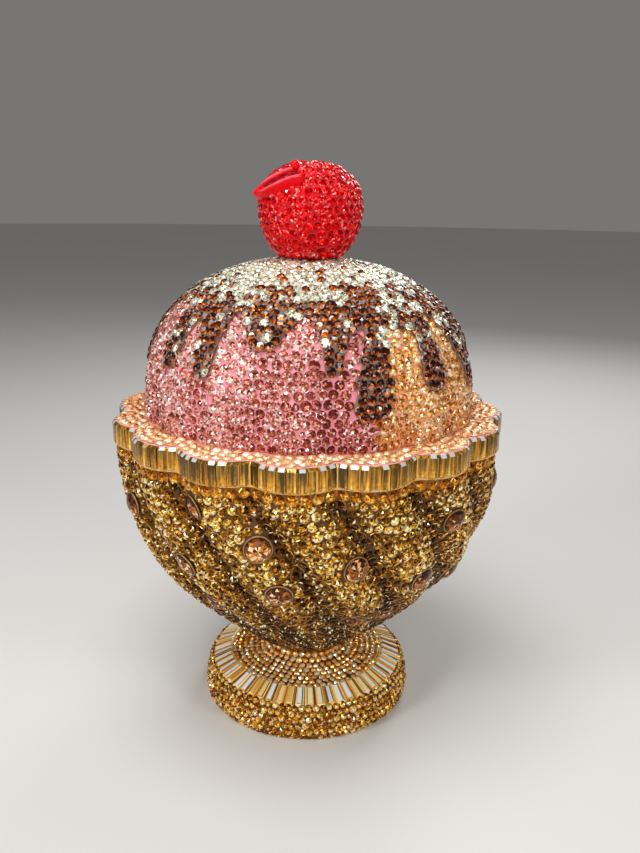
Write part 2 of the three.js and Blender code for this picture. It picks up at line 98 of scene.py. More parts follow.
SYRUP_SKIN = 0.95  # thickness
SYRUP_STRIPS, SYRUP_ROW = 144, 2.2  # strips round the scoop, and the height of its rows
SYRUP_HOLE = 5.0  # length left open round the crown, then filled flat
DRIP_ROOT = 135.5  # height where the drips start
DRIPS = [  # azimuth, lean, half-widths at root, waist and tip, tip height; arch to its right
    (-51.5, -1.5, 6.0, 3.4, 3.0, 117.0, -46.0, 131.0),
    (-37.0, 1.0, 6.0, 3.6, 3.0, 116.2, -30.8, 134.0),
    (-14.5, 0.0, 12.0, 8.4, 4.8, 124.6, 0.6, 133.8),
    (11.0, -2.6, 9.0, 3.6, 2.1, 118.8, 21.3, 130.2),
    (26.0, -5.6, 5.6, 2.0, 5.7, 107.0, 34.5, 130.0),
    (46.5, -1.2, 6.0, 2.4, 4.8, 113.0, 52.5, 132.4),
    (68.0, 2.0, 9.0, 6.5, 4.6, 110.5, 80.5, 133.8),
    (92.0, 0.0, 7.0, 4.0, 4.2, 119.0, 103.5, 133.8),
    (116.0, -2.0, 7.8, 3.4, 4.4, 108.5, 128.0, 133.8),
    (141.0, 2.0, 9.2, 5.0, 4.4, 121.5, 154.5, 133.8),
    (166.0, -1.0, 7.4, 3.8, 4.6, 111.0, 178.5, 133.8),
    (191.0, 1.5, 8.4, 4.6, 3.4, 117.5, 204.0, 133.8),
    (216.0, 0.0, 8.6, 3.6, 5.2, 107.5, 229.0, 133.8),
    (241.0, -1.5, 7.8, 4.2, 4.0, 120.0, 253.5, 133.8),
    (267.0, 1.0, 9.0, 4.8, 4.6, 112.5, 284.5, 133.8)]
LOWEST_DRIP = min(drip[5] for drip in DRIPS)
BROWN_SHARE = (  # heights, and the share of the syrup's stones there that are brown
    [112, 126, 134, 136.8, 139.6, 144.5], [0.95, 0.9, 0.78, 0.52, 0.16, 0.05])

CHERRY_BOTTOM, CHERRY_MIDDLE, CHERRY_TOP = 145.4, 159.0, 172.2
CHERRY_RADIUS, CHERRY_FLAT, CHERRY_SHOULDER, CHERRY_DIMPLE = 15.5, 9.6, 2.3, 2.2
LEAF_POINTS = [(-1.9, -11.6, 168.6), (-5.8, -11.8, 167.8), (-9.6, -10.6, 166.2),
               (-12.8, -8.0, 164.4), (-15.9, -3.8, 162.6)]
LEAF_KNOB, LEAF_KNOB_RADIUS = (-4.2, -11.7, 170.5), 1.45
LEAF_SECTION = [  # back to front: how far down the side, how far out where open and shut
    (-1.8, -1.2, -1.2), (-1.9, 0.2, 0.0), (-1.7, 1.1, 0.7), (-1.3, 1.6, 1.15), (-0.85, 1.55, 1.4),
    (-0.5, 0.9, 1.55), (-0.1, 0.35, 1.62), (0.5, 0.3, 1.62), (1.1, 0.75, 1.55), (1.5, 1.35, 1.42),
    (1.9, 1.5, 1.2), (2.4, 1.15, 0.8), (2.8, 0.45, 0.2), (3.2, -0.5, -0.6), (3.6, -1.6, -1.6)]
LEAF_WIDTH = ([0, 0.04, 0.1, 0.5, 0.74, 0.86, 0.94, 0.98, 1],
              [0.72, 0.9, 1.0, 0.96, 0.78, 0.62, 0.5, 0.36, 0.16])
LEAF_THICKNESS = ([0, 0.04, 0.1, 0.8, 0.95, 1], [0.5, 0.85, 1, 0.95, 0.8, 0.2])

CAMERA_PLACE = (3.611, -237.919, 163.183)
CAMERA_PITCH, CAMERA_ROLL = 0.2915016, 0.0133190  # how far it looks down and leans, in radians
FOCAL_PIXELS, PICTURE_HEIGHT = 777.97, 853  # focal length and height in pixels
SENSOR = 36  # height of the sensor


# ---- shapes of the surfaces

def polar(radius, azimuth, height):
    """The point at an azimuth."""
    return Vector((radius * math.sin(azimuth), -radius * math.cos(azimuth), height))


def lobe(azimuth):
    """1 on the crest of a lobe and 0 in the valley between two."""
    across = 2 * (((azimuth - CUSP) * LOBES / TAU) % 1) - 1
    return 1 - across * across


def fade(value, low, high):
    """0 up to low and 1 from high, with a smooth step between."""
    share = min(max((value - low) / (high - low), 0), 1)
    return share * share * (3 - 2 * share)


def plain(radius, azimuth, height):
    """A round surface: like the next ones it takes and gives radius, azimuth and height."""
    return radius, azimuth, height


def bowl_lobe(azimuth, height):
    """The bowl's lobes turn as they go down."""
    return lobe(azimuth - BOWL_TWIST * (BOWL_OUTLINE[-1][1] - height))


def swirled(radius, azimuth, height):
    depth = LOBE_DEPTH * fade(height, BOWL_OUTLINE[0][1], BOWL_OUTLINE[0][1] + LOBE_FADE)
    return radius * (1 - depth * (1 - bowl_lobe(azimuth, height))), azimuth, height


def scalloped(radius, azimuth, height):
    cusp = RIM_CUSP / RIM_CREST
    return radius * (cusp + (1 - cusp) * lobe(azimuth)), azimuth, height


def fluted(radius, azimuth, height):
    depth = FLUTE_DEPTH * (1 - fade(height, SCOOP_BASE, SCOOP_BASE + FLUTE_TOP))
    depth *= min(radius / SCOOP_RADIUS, 1)
    return radius - depth * (1 - lobe(azimuth)), azimuth, height


def scoop_radius(height, grow):
    """Radius of the scoop's outer face, or of one that lies grow outside it."""
    rise = min(max((height - SCOOP_BASE) / (SCOOP_HEIGHT + grow), 0), 1)
    return (SCOOP_RADIUS + grow) * (1 - rise ** POWER_UP) ** (1 / POWER_OUT)


def scoop_outline(grow, points=60):
    rises = [math.sin(i / points * math.pi / 2) ** 0.92 for i in range(points)]
    heights = [SCOOP_BASE + (SCOOP_HEIGHT + grow) * rise for rise in rises]
    top = SCOOP_BASE + SCOOP_HEIGHT + grow
    return [(scoop_radius(z, grow), z) for z in heights] + [(0.0, top)]


def cherry_outline(grow):
    """A flattened underside, a round belly, full shoulders and a dimple."""
    drop, rise = CHERRY_MIDDLE - CHERRY_BOTTOM, CHERRY_TOP - CHERRY_MIDDLE + grow
    below = drop / math.sqrt(1 - (CHERRY_FLAT / CHERRY_RADIUS) ** 2)
    power = 2 / CHERRY_SHOULDER
    belly = [i / 14 * math.asin(drop / below) for i in range(14, 0, -1)]
    crown = [i / 16 * (math.pi / 2) * 0.94 for i in range(16)]
    outline = [(CHERRY_RADIUS * math.cos(a) + grow, CHERRY_MIDDLE - below * math.sin(a))
               for a in belly]
    outline += [(CHERRY_RADIUS * math.cos(a) ** power + grow,
                 CHERRY_MIDDLE + rise * math.sin(a) ** power) for a in crown]
    top = CHERRY_TOP + grow
    dimple = [(0.3, 0), (0.12, 0.65), (0, 1)]
    return outline + [(CHERRY_RADIUS * out, top - CHERRY_DIMPLE * deep) for out, deep in dimple]


def rounded(points, steps):
    """A smooth curve through the points of an outline."""
    line = [points[0]] + list(points) + [points[-1]]
    out = []
    for a, b, c, d in zip(line, line[1:], line[2:], line[3:]):
        for i in range(steps):
            t = i / steps
            out.append(tuple(0.5 * (2 * q + (r - p) * t + (2 * p - 5 * q + 4 * r - s) * t * t
                                    + (3 * q - p - 3 * r + s) * t ** 3)
                             for p, q, r, s in zip(a, b, c, d)))
    return out + [tuple(points[-1])]


class Profile:
    """An outline of radius and height that is walked by its length, bottom to top."""

    def __init__(self, points):
        self.radii, self.heights = np.array(points, float).T
        steps = np.hypot(np.diff(self.radii), np.diff(self.heights))
        self.lengths = np.concatenate([[0], np.cumsum(steps)])
        self.length = float(self.lengths[-1])

    def at(self, along):
        return (float(np.interp(along, self.lengths, self.radii)),
                float(np.interp(along, self.lengths, self.heights)))

    def from_height(self, height):
        return float(np.interp(height, self.heights, self.lengths))

    def place(self, along, azimuth, warp):
        radius, height = self.at(along)
        return polar(*warp(radius, azimuth, height))

    def spots(self, along, azimuth, step=0.3):
        """Where many places are before the lobes are made, with both directions of the surface."""
        radius = np.interp(along, self.lengths, self.radii)
        height = np.interp(along, self.lengths, self.heights)
        out = np.interp(along + step, self.lengths, self.radii) - radius
        up = np.interp(along + step, self.lengths, self.heights) - height
        steep = np.maximum(np.hypot(out, up), 1e-6)
        sine, cosine = np.sin(azimuth), np.cos(azimuth)
        points = np.stack([radius * sine, -radius * cosine, height], 1)
        around = np.stack([cosine, sine, 0 * sine], 1)
        upward = np.stack([out * sine, -out * cosine, up], 1) / steep[:, None]
        return points, around, upward, radius


# ---- making pieces

def mesh_of(name, bm):
    mesh = bpy.data.meshes.new(name)
    bm.to_mesh(mesh)
    bm.free()
    return mesh


def placed(name, data):
    """Puts a mesh, a light or a camera in the scene."""
    thing = bpy.data.objects.new(name, data)
    bpy.context.scene.collection.objects.link(thing)
    return thing


def finished(name, bm, finish, replaces=(), smooth=False):
    """Turns a bmesh in millimetres into a piece that rides on the ornament."""
    mesh = mesh_of(name, bm)
    mesh.transform(Matrix.Scale(MM, 4))
    mesh.materials.append(finish)
    mesh.polygons.foreach_set("use_smooth", [smooth] * len(mesh.polygons))
    piece = placed(name, mesh)
    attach(piece, "root")
    if replaces:
        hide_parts(*replaces)
    return piece


def spun(bm, geom, steps):
    """Spins an outline once about +Z."""
    ops.spin(bm, geom=geom, cent=(0, 0, 0), axis=(0, 0, 1), dvec=(0, 0, 0), angle=TAU, steps=steps,
             use_merge=True)
    ops.remove_doubles(bm, verts=bm.verts, dist=TINY)
    ops.recalc_face_normals(bm, faces=bm.faces)


def warped(bm, warp):
    """Gives a round body its lobes or flutes."""
    for vert in bm.verts:
        radius = math.hypot(vert.co.x, vert.co.y)
        if radius > TINY:
            vert.co = polar(*warp(radius, math.atan2(vert.co.x, -vert.co.y), vert.co.z))
    return bm


def turned(outline, steps, warp=plain):
    """A closed body spun from an outline, then shaped by warp."""
    bm = bmesh.new()
    verts = [bm.verts.new((0, -radius, height)) for radius, height in outline]
    edges = [bm.edges.new(pair) for pair in zip(verts, verts[1:])]
    spun(bm, verts + edges, steps)
    return warped(bm, warp)


def hoop(radius, height, thickness, sides, steps):
    """A thin round ring about +Z."""
    bm = bmesh.new()
    ops.create_circle(bm, radius=thickness, segments=sides)
    ops.rotate(bm, verts=bm.verts, cent=(0, 0, 0), matrix=Matrix.Rotation(math.pi / 2, 3, "X"))
    ops.translate(bm, verts=bm.verts, vec=(radius, 0, height))
    spun(bm, bm.verts[:] + bm.edges[:], steps)
    return bm


def sliced(bm, point, normal, clear=False, near=1e-5):
    """Cuts a bmesh along a plane. With clear, all that lies beyond the plane goes."""
    ops.bisect_plane(bm, geom=bm.verts[:] + bm.edges[:] + bm.faces[:], dist=near, plane_co=point,
                     plane_no=normal, clear_outer=clear)


def filled(bm, edges):
    """Closes the holes among the edges."""
    ops.holes_fill(bm, edges=[edge for edge in edges if edge.is_boundary], sides=0)


def copies(mesh, places):
    """One bmesh of a mesh's copies, each moved by its matrix."""
    bm = bmesh.new()
    for place in places:
        copy = mesh.copy()
        copy.transform(place)
        bm.from_mesh(copy)
        bpy.data.meshes.remove(copy)
    return bm


def tree_of(points):
    """The points, laid out for finding neighbours."""
    tree = KDTree(len(points))
    for i, point in enumerate(points):
        tree.insert(point, i)
    tree.balance()
    return tree


# ---- cut stones

def top_face(bm):
    return max(bm.faces, key=lambda face: face.calc_center_median().z)


def crowned(bm, inwards, upwards, turn):
    """Raises the top face of a stone as a smaller one, with triangular facets round it."""
    top = top_face(bm)
    band = ops.inset_individual(bm, faces=[top], thickness=inwards, depth=upwards)["faces"]
    ops.rotate(bm, verts=top.verts, cent=(0, 0, 0), matrix=Matrix.Rotation(turn, 3, "Z"))
    ops.triangulate(bm, faces=band, quad_method="SHORT_EDGE")


def cut_mesh(bm):
    ops.recalc_face_normals(bm, faces=bm.faces)
    return mesh_of("cut", bm)


def round_cut(sides, tiers, edge=0.1, point=0.07, girdle=0.12):
    """A round stone of radius 1 on its flat back, with a narrow slope for an edge, tiers of facets
    and a blunt point. Each tier is how far it steps in and up."""
    bm = bmesh.new()
    ops.create_cone(bm, cap_ends=True, segments=sides, radius1=1, radius2=1 - edge, depth=girdle,
                    matrix=Matrix.Translation((0, 0, girdle / 2)))
    for inwards, upwards in tiers:
        crowned(bm, inwards, upwards, math.pi / sides)
    ops.poke(bm, faces=[top_face(bm)], offset=point)
    return cut_mesh(bm)


def long_cut(width, length, depth, bevels, parted=()):
    """An oblong stone along Y on its flat back, parted lengthwise at shares of its width. Each
    bevel is how far it steps in at the sides, in at the ends and up."""
    bm = bmesh.new()
    ops.create_cube(bm, size=1)
    ops.scale(bm, verts=bm.verts, vec=(width, length, depth))
    ops.translate(bm, verts=bm.verts, vec=(0, 0, depth / 2))
    for side, end, up in bevels:
        top = top_face(bm)
        ops.inset_individual(bm, faces=[top], thickness=side, depth=up, use_even_offset=True)
        ops.scale(bm, verts=top.verts, vec=(1, (length - 2 * end) / (length - 2 * side), 1))
        width, length = width - 2 * side, length - 2 * end
    for share in parted:
        sliced(bm, (share * width, 0, 0), (1, 0, 0))
    return cut_mesh(bm)


DOWNWARDS = Vector((0, 0, -1))


class Seat:
    """Where a stone sits: its middle, the way it faces, the way down along the surface."""

    def __init__(self, point, out, size, down=None, width=1.0):
        self.point, self.out, self.size, self.width = point, out.normalized(), size, width
        self.azimuth, self.height = math.atan2(point.x, -point.y), point.z
        self.shade = 0.0  # how much brighter its facets are than others: painted light and shade on the bowl, deck, rim and scoops, elsewhere a plain tone
        fall = down or Vector((point.x, point.y, 0)).normalized() + DOWNWARDS
        self.down = (fall - self.out * fall.dot(self.out)).normalized()

    def matrix(self, spin=0.0, tip=(0, 0)):
        """Lays a cut stone in its seat, turned about its axis and tipped a little."""
        facing = (self.out + self.down * tip[0] + self.out.cross(self.down) * tip[1]).normalized()
        across = self.down.cross(facing).normalized()
        turn = Matrix((across, facing.cross(across), facing)).transposed().to_4x4()
        bed = Matrix.Translation(self.point - self.out * BEDDED)
        scale = Matrix.Diagonal((self.size * self.width, self.size, self.size, 1))
        return bed @ turn @ Matrix.Rotation(spin, 4, "Z") @ scale


def seat_on(profile, warp, along, azimuth, size, rest=1.3, step=0.4, **more):
    """A seat on a lobed surface: in a valley the stone rests on the walls, rest to either side."""
    turn = rest / max(profile.at(along)[0], 2 * rest)
    point = profile.place(along, azimuth, warp)
    left, right = (profile.place(along, azimuth + side, warp) for side in (-turn, turn))
    up = profile.place(along + step, azimuth, warp) - profile.place(along - step, azimuth, warp)
    seat = Seat(point, (right - left).cross(up), size, **more)
    seat.point = point + seat.out * max(((left + right) / 2 - point).dot(seat.out), 0)
    return seat


ROW_PITCH = 0.87  # from one staggered ring to the next, for a pitch of 1
NEIGHBOURS_KEPT = 12  # rounds of pushing before the neighbours are looked up again
NEIGHBOUR_REACH = 1.35  # how far off they may be, for the largest pitch of 1
PUSH = 0.4  # the share of an overlap that each of two stones gives way
SMALL_STONE = 0.68  # pitch of the few small stones, for a pitch of 1
SMALLEST = 0.5  # radius below which a stone is left out


def rings(profile, pitch_at, low, high, looseness, crowding):
    """Staggered rings of places up a turned surface, as lengths along it and azimuths."""
    alongs, azimuths = [], []
    along, row = low, 0
    while along < high:
        radius, height = profile.at(along)
        pitch = pitch_at(height) * crowding
        count = max(3, round(TAU * radius / pitch))
        alongs += [along] * count
        azimuths += [CUSP + TAU * (k + 0.5 * (row % 2)) / count for k in range(count)]
        along, row = along + ROW_PITCH * pitch, row + 1
    alongs, azimuths = np.array(alongs), np.array(azimuths)
    radii = np.maximum(np.interp(alongs, profile.lengths, profile.radii), 1)
    up, aside = chance.normal(0, looseness, (2, len(alongs)))
    return np.clip(alongs + up, low, high), azimuths + aside / radii


def settled(profile, along, azimuth, pitch, low, high, hold, rounds):
    """Lets stones push each other apart until they lie evenly, as if placed by hand."""
    for go in range(rounds):
        points, around, upward, radius = profile.spots(along, azimuth)
        if go % NEIGHBOURS_KEPT == 0:
            tree = tree_of(points)
            reach = NEIGHBOUR_REACH * float(pitch.max())
            near = [(i, j) for i, point in enumerate(points)
                    for _, j, _ in tree.find_range(point, reach) if j > i]
            first, second = np.array(near).T
        gap = points[first] - points[second]
        distance = lengths_of(gap)
        short = np.maximum((pitch[first] + pitch[second]) / 2 - distance, 0)
        push = gap * (PUSH * short / distance)[:, None]
        move = np.zeros_like(points)
        np.add.at(move, first, push)
        np.add.at(move, second, -push)
        if hold:
            move += hold(points)
        azimuth = azimuth + (move * around).sum(1) / np.maximum(radius, 1)
        along = np.clip(along + (move * upward).sum(1), low, high)
    return along, azimuth


def lengths_of(rows):
    """The length of each vector in an array, and never quite 0."""
    return np.maximum(np.linalg.norm(rows, axis=1), 1e-3)


def set_by_hand(profile, warp, pitch_at, low, high, gap, looseness, uneven, small=0.0, crowding=1.0,
                hold_for=None, shade=None, rounds=72):
    """Seats for round stones between two lengths up a surface, at a pitch that may change with
    the height. small is the share of small ones, and hold_for makes what else pushes them."""
    along, azimuth = rings(profile, pitch_at, low, high, looseness, crowding)
    heights = np.interp(along, profile.lengths, profile.heights)
    pitch = np.array([pitch_at(z) for z in heights]) * (1 + chance.normal(0, uneven, len(along)))
    pitch = np.where(chance.random(len(along)) < small, pitch * SMALL_STONE, pitch)
    hold = hold_for(profile.spots(along, azimuth)[0], pitch) if hold_for else None
    along, azimuth = settled(profile, along, azimuth, pitch, low, high, hold, rounds)
    seats = [seat_on(profile, warp, x, a, 1.0) for x, a in zip(along, azimuth)]
    tree = tree_of([seat.point for seat in seats])
    for seat, wanted in zip(seats, pitch):
        room = sum(distance for _, _, distance in tree.find_n(seat.point, 4)) / 3
        seat.size = (min(wanted, room * 1.2) - gap) / 2
        if shade:
            seat.shade = shade(seat)
    return [seat for seat in seats if seat.size > SMALLEST]


def even(low, across):
    """Painted light: how a stone's facets shine, by where each lies from the stone's middle, the
    lower ones, which face away from the light, brightest."""
    return 0.5 + 0.34 * low


def painted_table_reflections(low, across):
    """Painted reflection and light: the flat tops of some stones are painted as mirroring the pale
    room, and their lower facets glow.
    """
    chosen = (chance.random(len(low)) < 0.34)[:, None]
    return np.where(chosen & (np.hypot(low + 0.12, across) < 0.42), 0.95, 0.3 + 0.6 * low)


def set_stones(name, cut, seats, finish, replaces=(), tip=0.07, spin=True, glow=even,
               sparkle=0.04, mottle=0.18):
    """One piece of many like stones. Each facet keeps how it shines, which is painted light, its
    stone's tint and whether it is part of the edge."""
    places = []
    for seat in seats:
        turn = chance.uniform(0, TAU) if spin else 0
        places.append(seat.matrix(turn, chance.normal(0, tip, 2)))
    piece = finished(name, copies(cut, places), finish, replaces)
    stones, facets = len(seats), len(cut.polygons)
    centres = np.empty(stones * facets * 3)
    piece.data.polygons.foreach_get("center", centres)
    points, downs, outs, sizes, shades = (
        np.array([getattr(seat, part) for seat in seats])
        for part in ("point", "down", "out", "size", "shade"))
    offsets = (centres.reshape(stones, facets, 3) / MM - points[:, None]) / sizes[:, None, None]
    low = (offsets * downs[:, None]).sum(2)
    across = (offsets * np.cross(downs, outs)[:, None]).sum(2)
    # Painted light: each facet's glow and its seat's shade, with a random mottle; sparkle paints a
    # glint on a few facets at random.
    shine = glow(low, across) + shades[:, None] + chance.normal(0, mottle, (stones, facets))
    shine = np.where(chance.random((stones, facets)) < sparkle, 1.0, shine)
    keep(piece, "shine", shine.ravel())
    keep(piece, "tint", np.repeat(chance.random(stones), facets))
    edge = [float(facet.center.z < EDGE_TOP) for facet in cut.polygons]
    keep(piece, "edge", np.tile(edge, stones))
    return piece


def keep(piece, name, values):
    """Stores one number for each facet of a piece, for its material to read."""
    layer = piece.data.attributes.new(name, "FLOAT", "FACE")
    layer.data.foreach_set("value", np.clip(values, 0, 1).astype(np.float32))


# ---- finishes

class Value:
    """A number on its way through a material: maths on it adds Math nodes."""

    def __init__(self, recipe, socket):
        self.recipe, self.socket = recipe, socket

    def maths(self, operation, *terms):
        return self.recipe.node("ShaderNodeMath", {"operation": operation}, dict(enumerate(terms)))

    def __add__(self, other):
        return self.maths("ADD", self, other)

    def __sub__(self, other):
        return self.maths("SUBTRACT", self, other)

    def __mul__(self, other):
        return self.maths("MULTIPLY", self, other)

    def __rsub__(self, other):
        return self.maths("SUBTRACT", other, self)

    __radd__, __rmul__ = __add__, __mul__


class Recipe:
    """A material with a Principled surface, put together node by node."""

    def __init__(self, name, **constants):
        self.material = bpy.data.materials.new(name)
        self.material.use_nodes = True
        self.tree = self.material.node_tree
        self.surface = self.tree.nodes["Principled BSDF"]
        self.out(**constants)

    def node(self, kind, settings=None, inputs=None, output=0):
        node = self.tree.nodes.new(kind)
        for key, value in (settings or {}).items():
            if key == "stops":
                self.stops(node.color_ramp.elements, value)
            else:
                setattr(node, key, value)
        for key, value in (inputs or {}).items():
            self.feed(node.inputs[key], value)
        return Value(self, node.outputs[output])

    def feed(self, socket, value):
        if isinstance(value, Value):
            self.tree.links.new(value.socket, socket)
        else:
            socket.default_value = value

    def stops(self, elements, stops):
        while len(elements) < len(stops):
            elements.new(1)
        for element, (position, colour) in zip(elements, stops):
            element.position, element.color = position, colour

    def out(self, **values):
        """Feeds sockets of the surface, named with _ for a space."""
        for socket, value in values.items():
            self.feed(self.surface.inputs[socket.replace("_", " ")], value)
        return self.material

    def kept(self, name):
        """A number that the piece keeps for each facet or point."""
        return self.node("ShaderNodeAttribute", {"attribute_name": name}, output="Fac")

    def place(self):
        return self.node("ShaderNodeTexCoord", output="Object")

    def height(self):
        """How far up the ornament a point is, in metres."""
        return self.node("ShaderNodeSeparateXYZ", None, {0: self.place()}, "Z")

    def between(self, value, zero, one):
        """A share: 0 where the value is at zero, 1 where it is at one, and never outside these."""
        return self.node("ShaderNodeMapRange", None,
                         {"Value": value, "From Min": zero, "From Max": one})

    def noise(self, scale, detail=2.0, where=None):
        return self.node("ShaderNodeTexNoise", None,
                         {"Vector": where or self.place(), "Scale": scale, "Detail": detail}, "Fac")

    def ramp(self, value, stops):
        return self.node("ShaderNodeValToRGB", {"stops": stops}, {"Fac": value}, "Color")

    def mix(self, share, first, second):
        """Two colours, mixed by a share."""
        return self.node("ShaderNodeMix", {"data_type": "RGBA"}, {0: share, 6: first, 7: second}, 2)

    def bump(self, height, strength, distance):
        return self.node("ShaderNodeBump", None,
                         {"Height": height, "Strength": strength, "Distance": distance}, "Normal")


def tone(red, green, blue):
    """A colour given 0 to 255 a channel, in the shader's linear light."""
    def linear(level):
        level /= 255
        return level / 12.92 if level <= 0.04045 else ((level + 0.055) / 1.055) ** 2.4
    return linear(red), linear(green), linear(blue), 1.0


def glass(name, stops, edge, metallic=0.45, roughness=0.2, spread=0.3, flecks=1.0, gloss=0.12,
          fire=0.0):
    """Foil-backed cut glass: each facet takes its colour from how it shines, which is painted light
    with painted glints at the top stops, with random flecks that paint the sparkle of the foil
    behind it, each stone a little lighter or darker than the next, and the edge of each its own
    colour.
    With fire, a few stones get painted coloured glints on their bright facets."""
    recipe = Recipe(name, Metallic=metallic, Roughness=roughness, IOR=1.2 + gloss,
                    Coat_Weight=gloss, Coat_Roughness=0.05)
    tint = recipe.kept("tint")
    # Painted sparkle: random flecks that stand for the foil behind the glass.
    foil = recipe.noise(2400)
    shine = recipe.kept("shine") + (tint - 0.5) * spread + (foil - 0.5) * flecks
    colour = recipe.ramp(shine, [(at, tone(*rgb)) for at, rgb in stops])
    # Painted coloured glints on the bright facets of a few stones.
    if fire:
        hue, chosen = (tint.maths("FRACT", tint * often) for often in (37.0, 91.0))
        hues = recipe.ramp(hue, [(0.0, tone(255, 236, 60)), (0.35, tone(120, 240, 190)),
                                 (0.6, tone(190, 214, 255)), (1.0, tone(226, 196, 255))])
        lit = tint.maths("GREATER_THAN", chosen, 1 - fire)
        bright = tint.maths("GREATER_THAN", recipe.kept("shine"), 0.55)
        colour = recipe.mix(lit * bright, colour, hues)
    return recipe.out(Base_Color=recipe.mix(recipe.kept("edge"), colour, tone(*edge)))


def clay(name, light, dark, roughness=0.55):
    """Matt clay in two tones, with a fine grain."""
    recipe = Recipe(name, Specular_IOR_Level=0.14)
    patches = recipe.noise(260, 3)
    grain = recipe.noise(1700)
    return recipe.out(Base_Color=recipe.mix(patches, tone(*dark), tone(*light)),
                      Roughness=roughness + grain * 0.2,
                      Normal=recipe.bump(grain, 0.5, 0.0002))


def gilding(name, light, dark, roughness=0.3, metallic=0.6):
    """Worn gold paint."""
    recipe = Recipe(name, Metallic=metallic)
    wear = recipe.noise(420, 4)
    return recipe.out(Base_Color=recipe.mix(wear, tone(*dark), tone(*light)),
                      Roughness=roughness + wear * 0.2,
                      Normal=recipe.bump(wear, 0.3, 0.0002))


def enamel(name, light, dark, roughness=0.1):
    """Glossy enamel, paler along ridges where a highlight is painted, and darker and crumpled in
    hollows where shade is painted.
    """
    recipe = Recipe(name, Coat_Weight=0.12, Coat_Roughness=0.03, Specular_IOR_Level=0.1)
    flow = recipe.noise(140, 3)
    crumple = recipe.noise(700, 3)
    body = recipe.mix(flow, tone(*dark), tone(*light))
    # Painted shade in the hollows.
    deep = tone(*[level * 0.6 for level in dark])
    shaded = recipe.mix(recipe.kept("hollow") * 0.75, body, deep)
    # Painted highlight along the ridges of the rolled rim.
    ridge = recipe.kept("ridge") * (0.25 + crumple * 0.6)
    dents = recipe.kept("hollow") * crumple + flow * 0.3
    return recipe.out(Base_Color=recipe.mix(ridge, shaded, tone(255, 116, 134)),
                      Roughness=roughness + flow * 0.1,
                      Normal=recipe.bump(dents, 0.4, 0.0005))


def rim_glass():
    """Upright oblong stones with fine upright streaks, and painted light: smoky at the top, golden
    and speckled lower down, with a pale painted highlight where a bevel shines most.
    """
    recipe = Recipe("rim_glass", Metallic=0.5, Roughness=0.18, IOR=1.45, Coat_Weight=0.15,
                    Coat_Roughness=0.05)
    stretched = recipe.node("ShaderNodeMapping", None,
                            {"Vector": recipe.place(), "Scale": (1, 1, 0.06)}, "Vector")
    streaks = recipe.noise(1500, where=stretched)
    specks = recipe.noise(1300)
    # Painted light: the stones glow golden towards their foot, and the specks gather there.
    down = recipe.between(recipe.height(), 0.0975, 0.0925)
    tint = recipe.kept("tint")
    glow = down * 0.28 + (streaks - 0.5) * 1.5 + (tint - 0.5) * 0.3 + recipe.kept("shine") * 0.5
    body = recipe.ramp(glow + (specks - 0.5) * down * 0.9, [
        (0.1, tone(78, 56, 14)), (0.32, tone(138, 102, 32)), (0.52, tone(204, 142, 36)),
        (0.75, tone(246, 190, 74)), (1.0, tone(255, 240, 170))])
    # Painted highlight on the brightest bevels.
    pale = recipe.between(recipe.kept("shine"), 0.88, 0.98)
    return recipe.out(Base_Color=recipe.mix(pale, body, tone(232, 240, 244)))


def syrup_finish():
    """The syrup between its stones: pale on the crown, brown lower down, with a lighter edge."""
    recipe = Recipe("syrup_finish", Specular_IOR_Level=0.25)
    body = recipe.mix(recipe.between(recipe.height(), 0.141, 0.131), tone(232, 218, 190),
                      tone(122, 92, 76))
    rim = recipe.between(recipe.kept("lift"), 0.8, 0.4)
    grain = recipe.noise(900, 3)
    return recipe.out(Base_Color=recipe.mix(rim, body, tone(150, 114, 92)),
                      Roughness=0.4 + grain * 0.25, Normal=recipe.bump(grain, 0.4, 0.0002))


strawberry_clay = clay("strawberry_clay", (240, 160, 170), (226, 130, 142))
peach_clay = clay("peach_clay", (244, 172, 134), (232, 148, 108))
tray_clay = clay("tray_clay", (228, 164, 140), (208, 134, 110))
cherry_clay = clay("cherry_clay", (230, 28, 40), (192, 6, 14), 0.5)
bowl_gold = gilding("bowl_gold", (104, 66, 14), (48, 30, 4), 0.45, 0.3)
collar_gold = gilding("collar_gold", (176, 120, 48), (104, 64, 20), 0.4, 0.4)
# Dark for the shade in the gaps between the foot's stones: painted shade.
foot_gold = gilding("foot_gold", (118, 74, 28), (70, 42, 14))
rim_gold = gilding("rim_gold", (244, 196, 108), (206, 146, 66), metallic=0.3)
ring_gold = gilding("ring_gold", (180, 140, 90), (112, 78, 40), 0.25, 0.4)
rim_enamel = enamel("rim_enamel", (240, 180, 176), (222, 154, 148), 0.3)
leaf_enamel = enamel("leaf_enamel", (248, 8, 26), (206, 0, 10))

strawberry_glass = glass("strawberry_glass", [
    (0.05, (96, 28, 18)), (0.32, (150, 66, 48)), (0.56, (190, 104, 84)), (0.8, (222, 150, 132)),
    (1.0, (255, 242, 234))], (248, 184, 196))
peach_glass = glass("peach_glass", [
    (0.05, (118, 56, 10)), (0.32, (186, 104, 32)), (0.56, (226, 146, 60)), (0.8, (252, 196, 116)),
    (1.0, (255, 250, 222))], (250, 192, 150))
tray_glass = glass("tray_glass", [
    (0.05, (112, 54, 20)), (0.32, (178, 104, 54)), (0.56, (220, 154, 94)), (0.8, (248, 208, 152)),
    (1.0, (255, 250, 232))], (232, 166, 126), metallic=0.25, roughness=0.28, gloss=0.04)
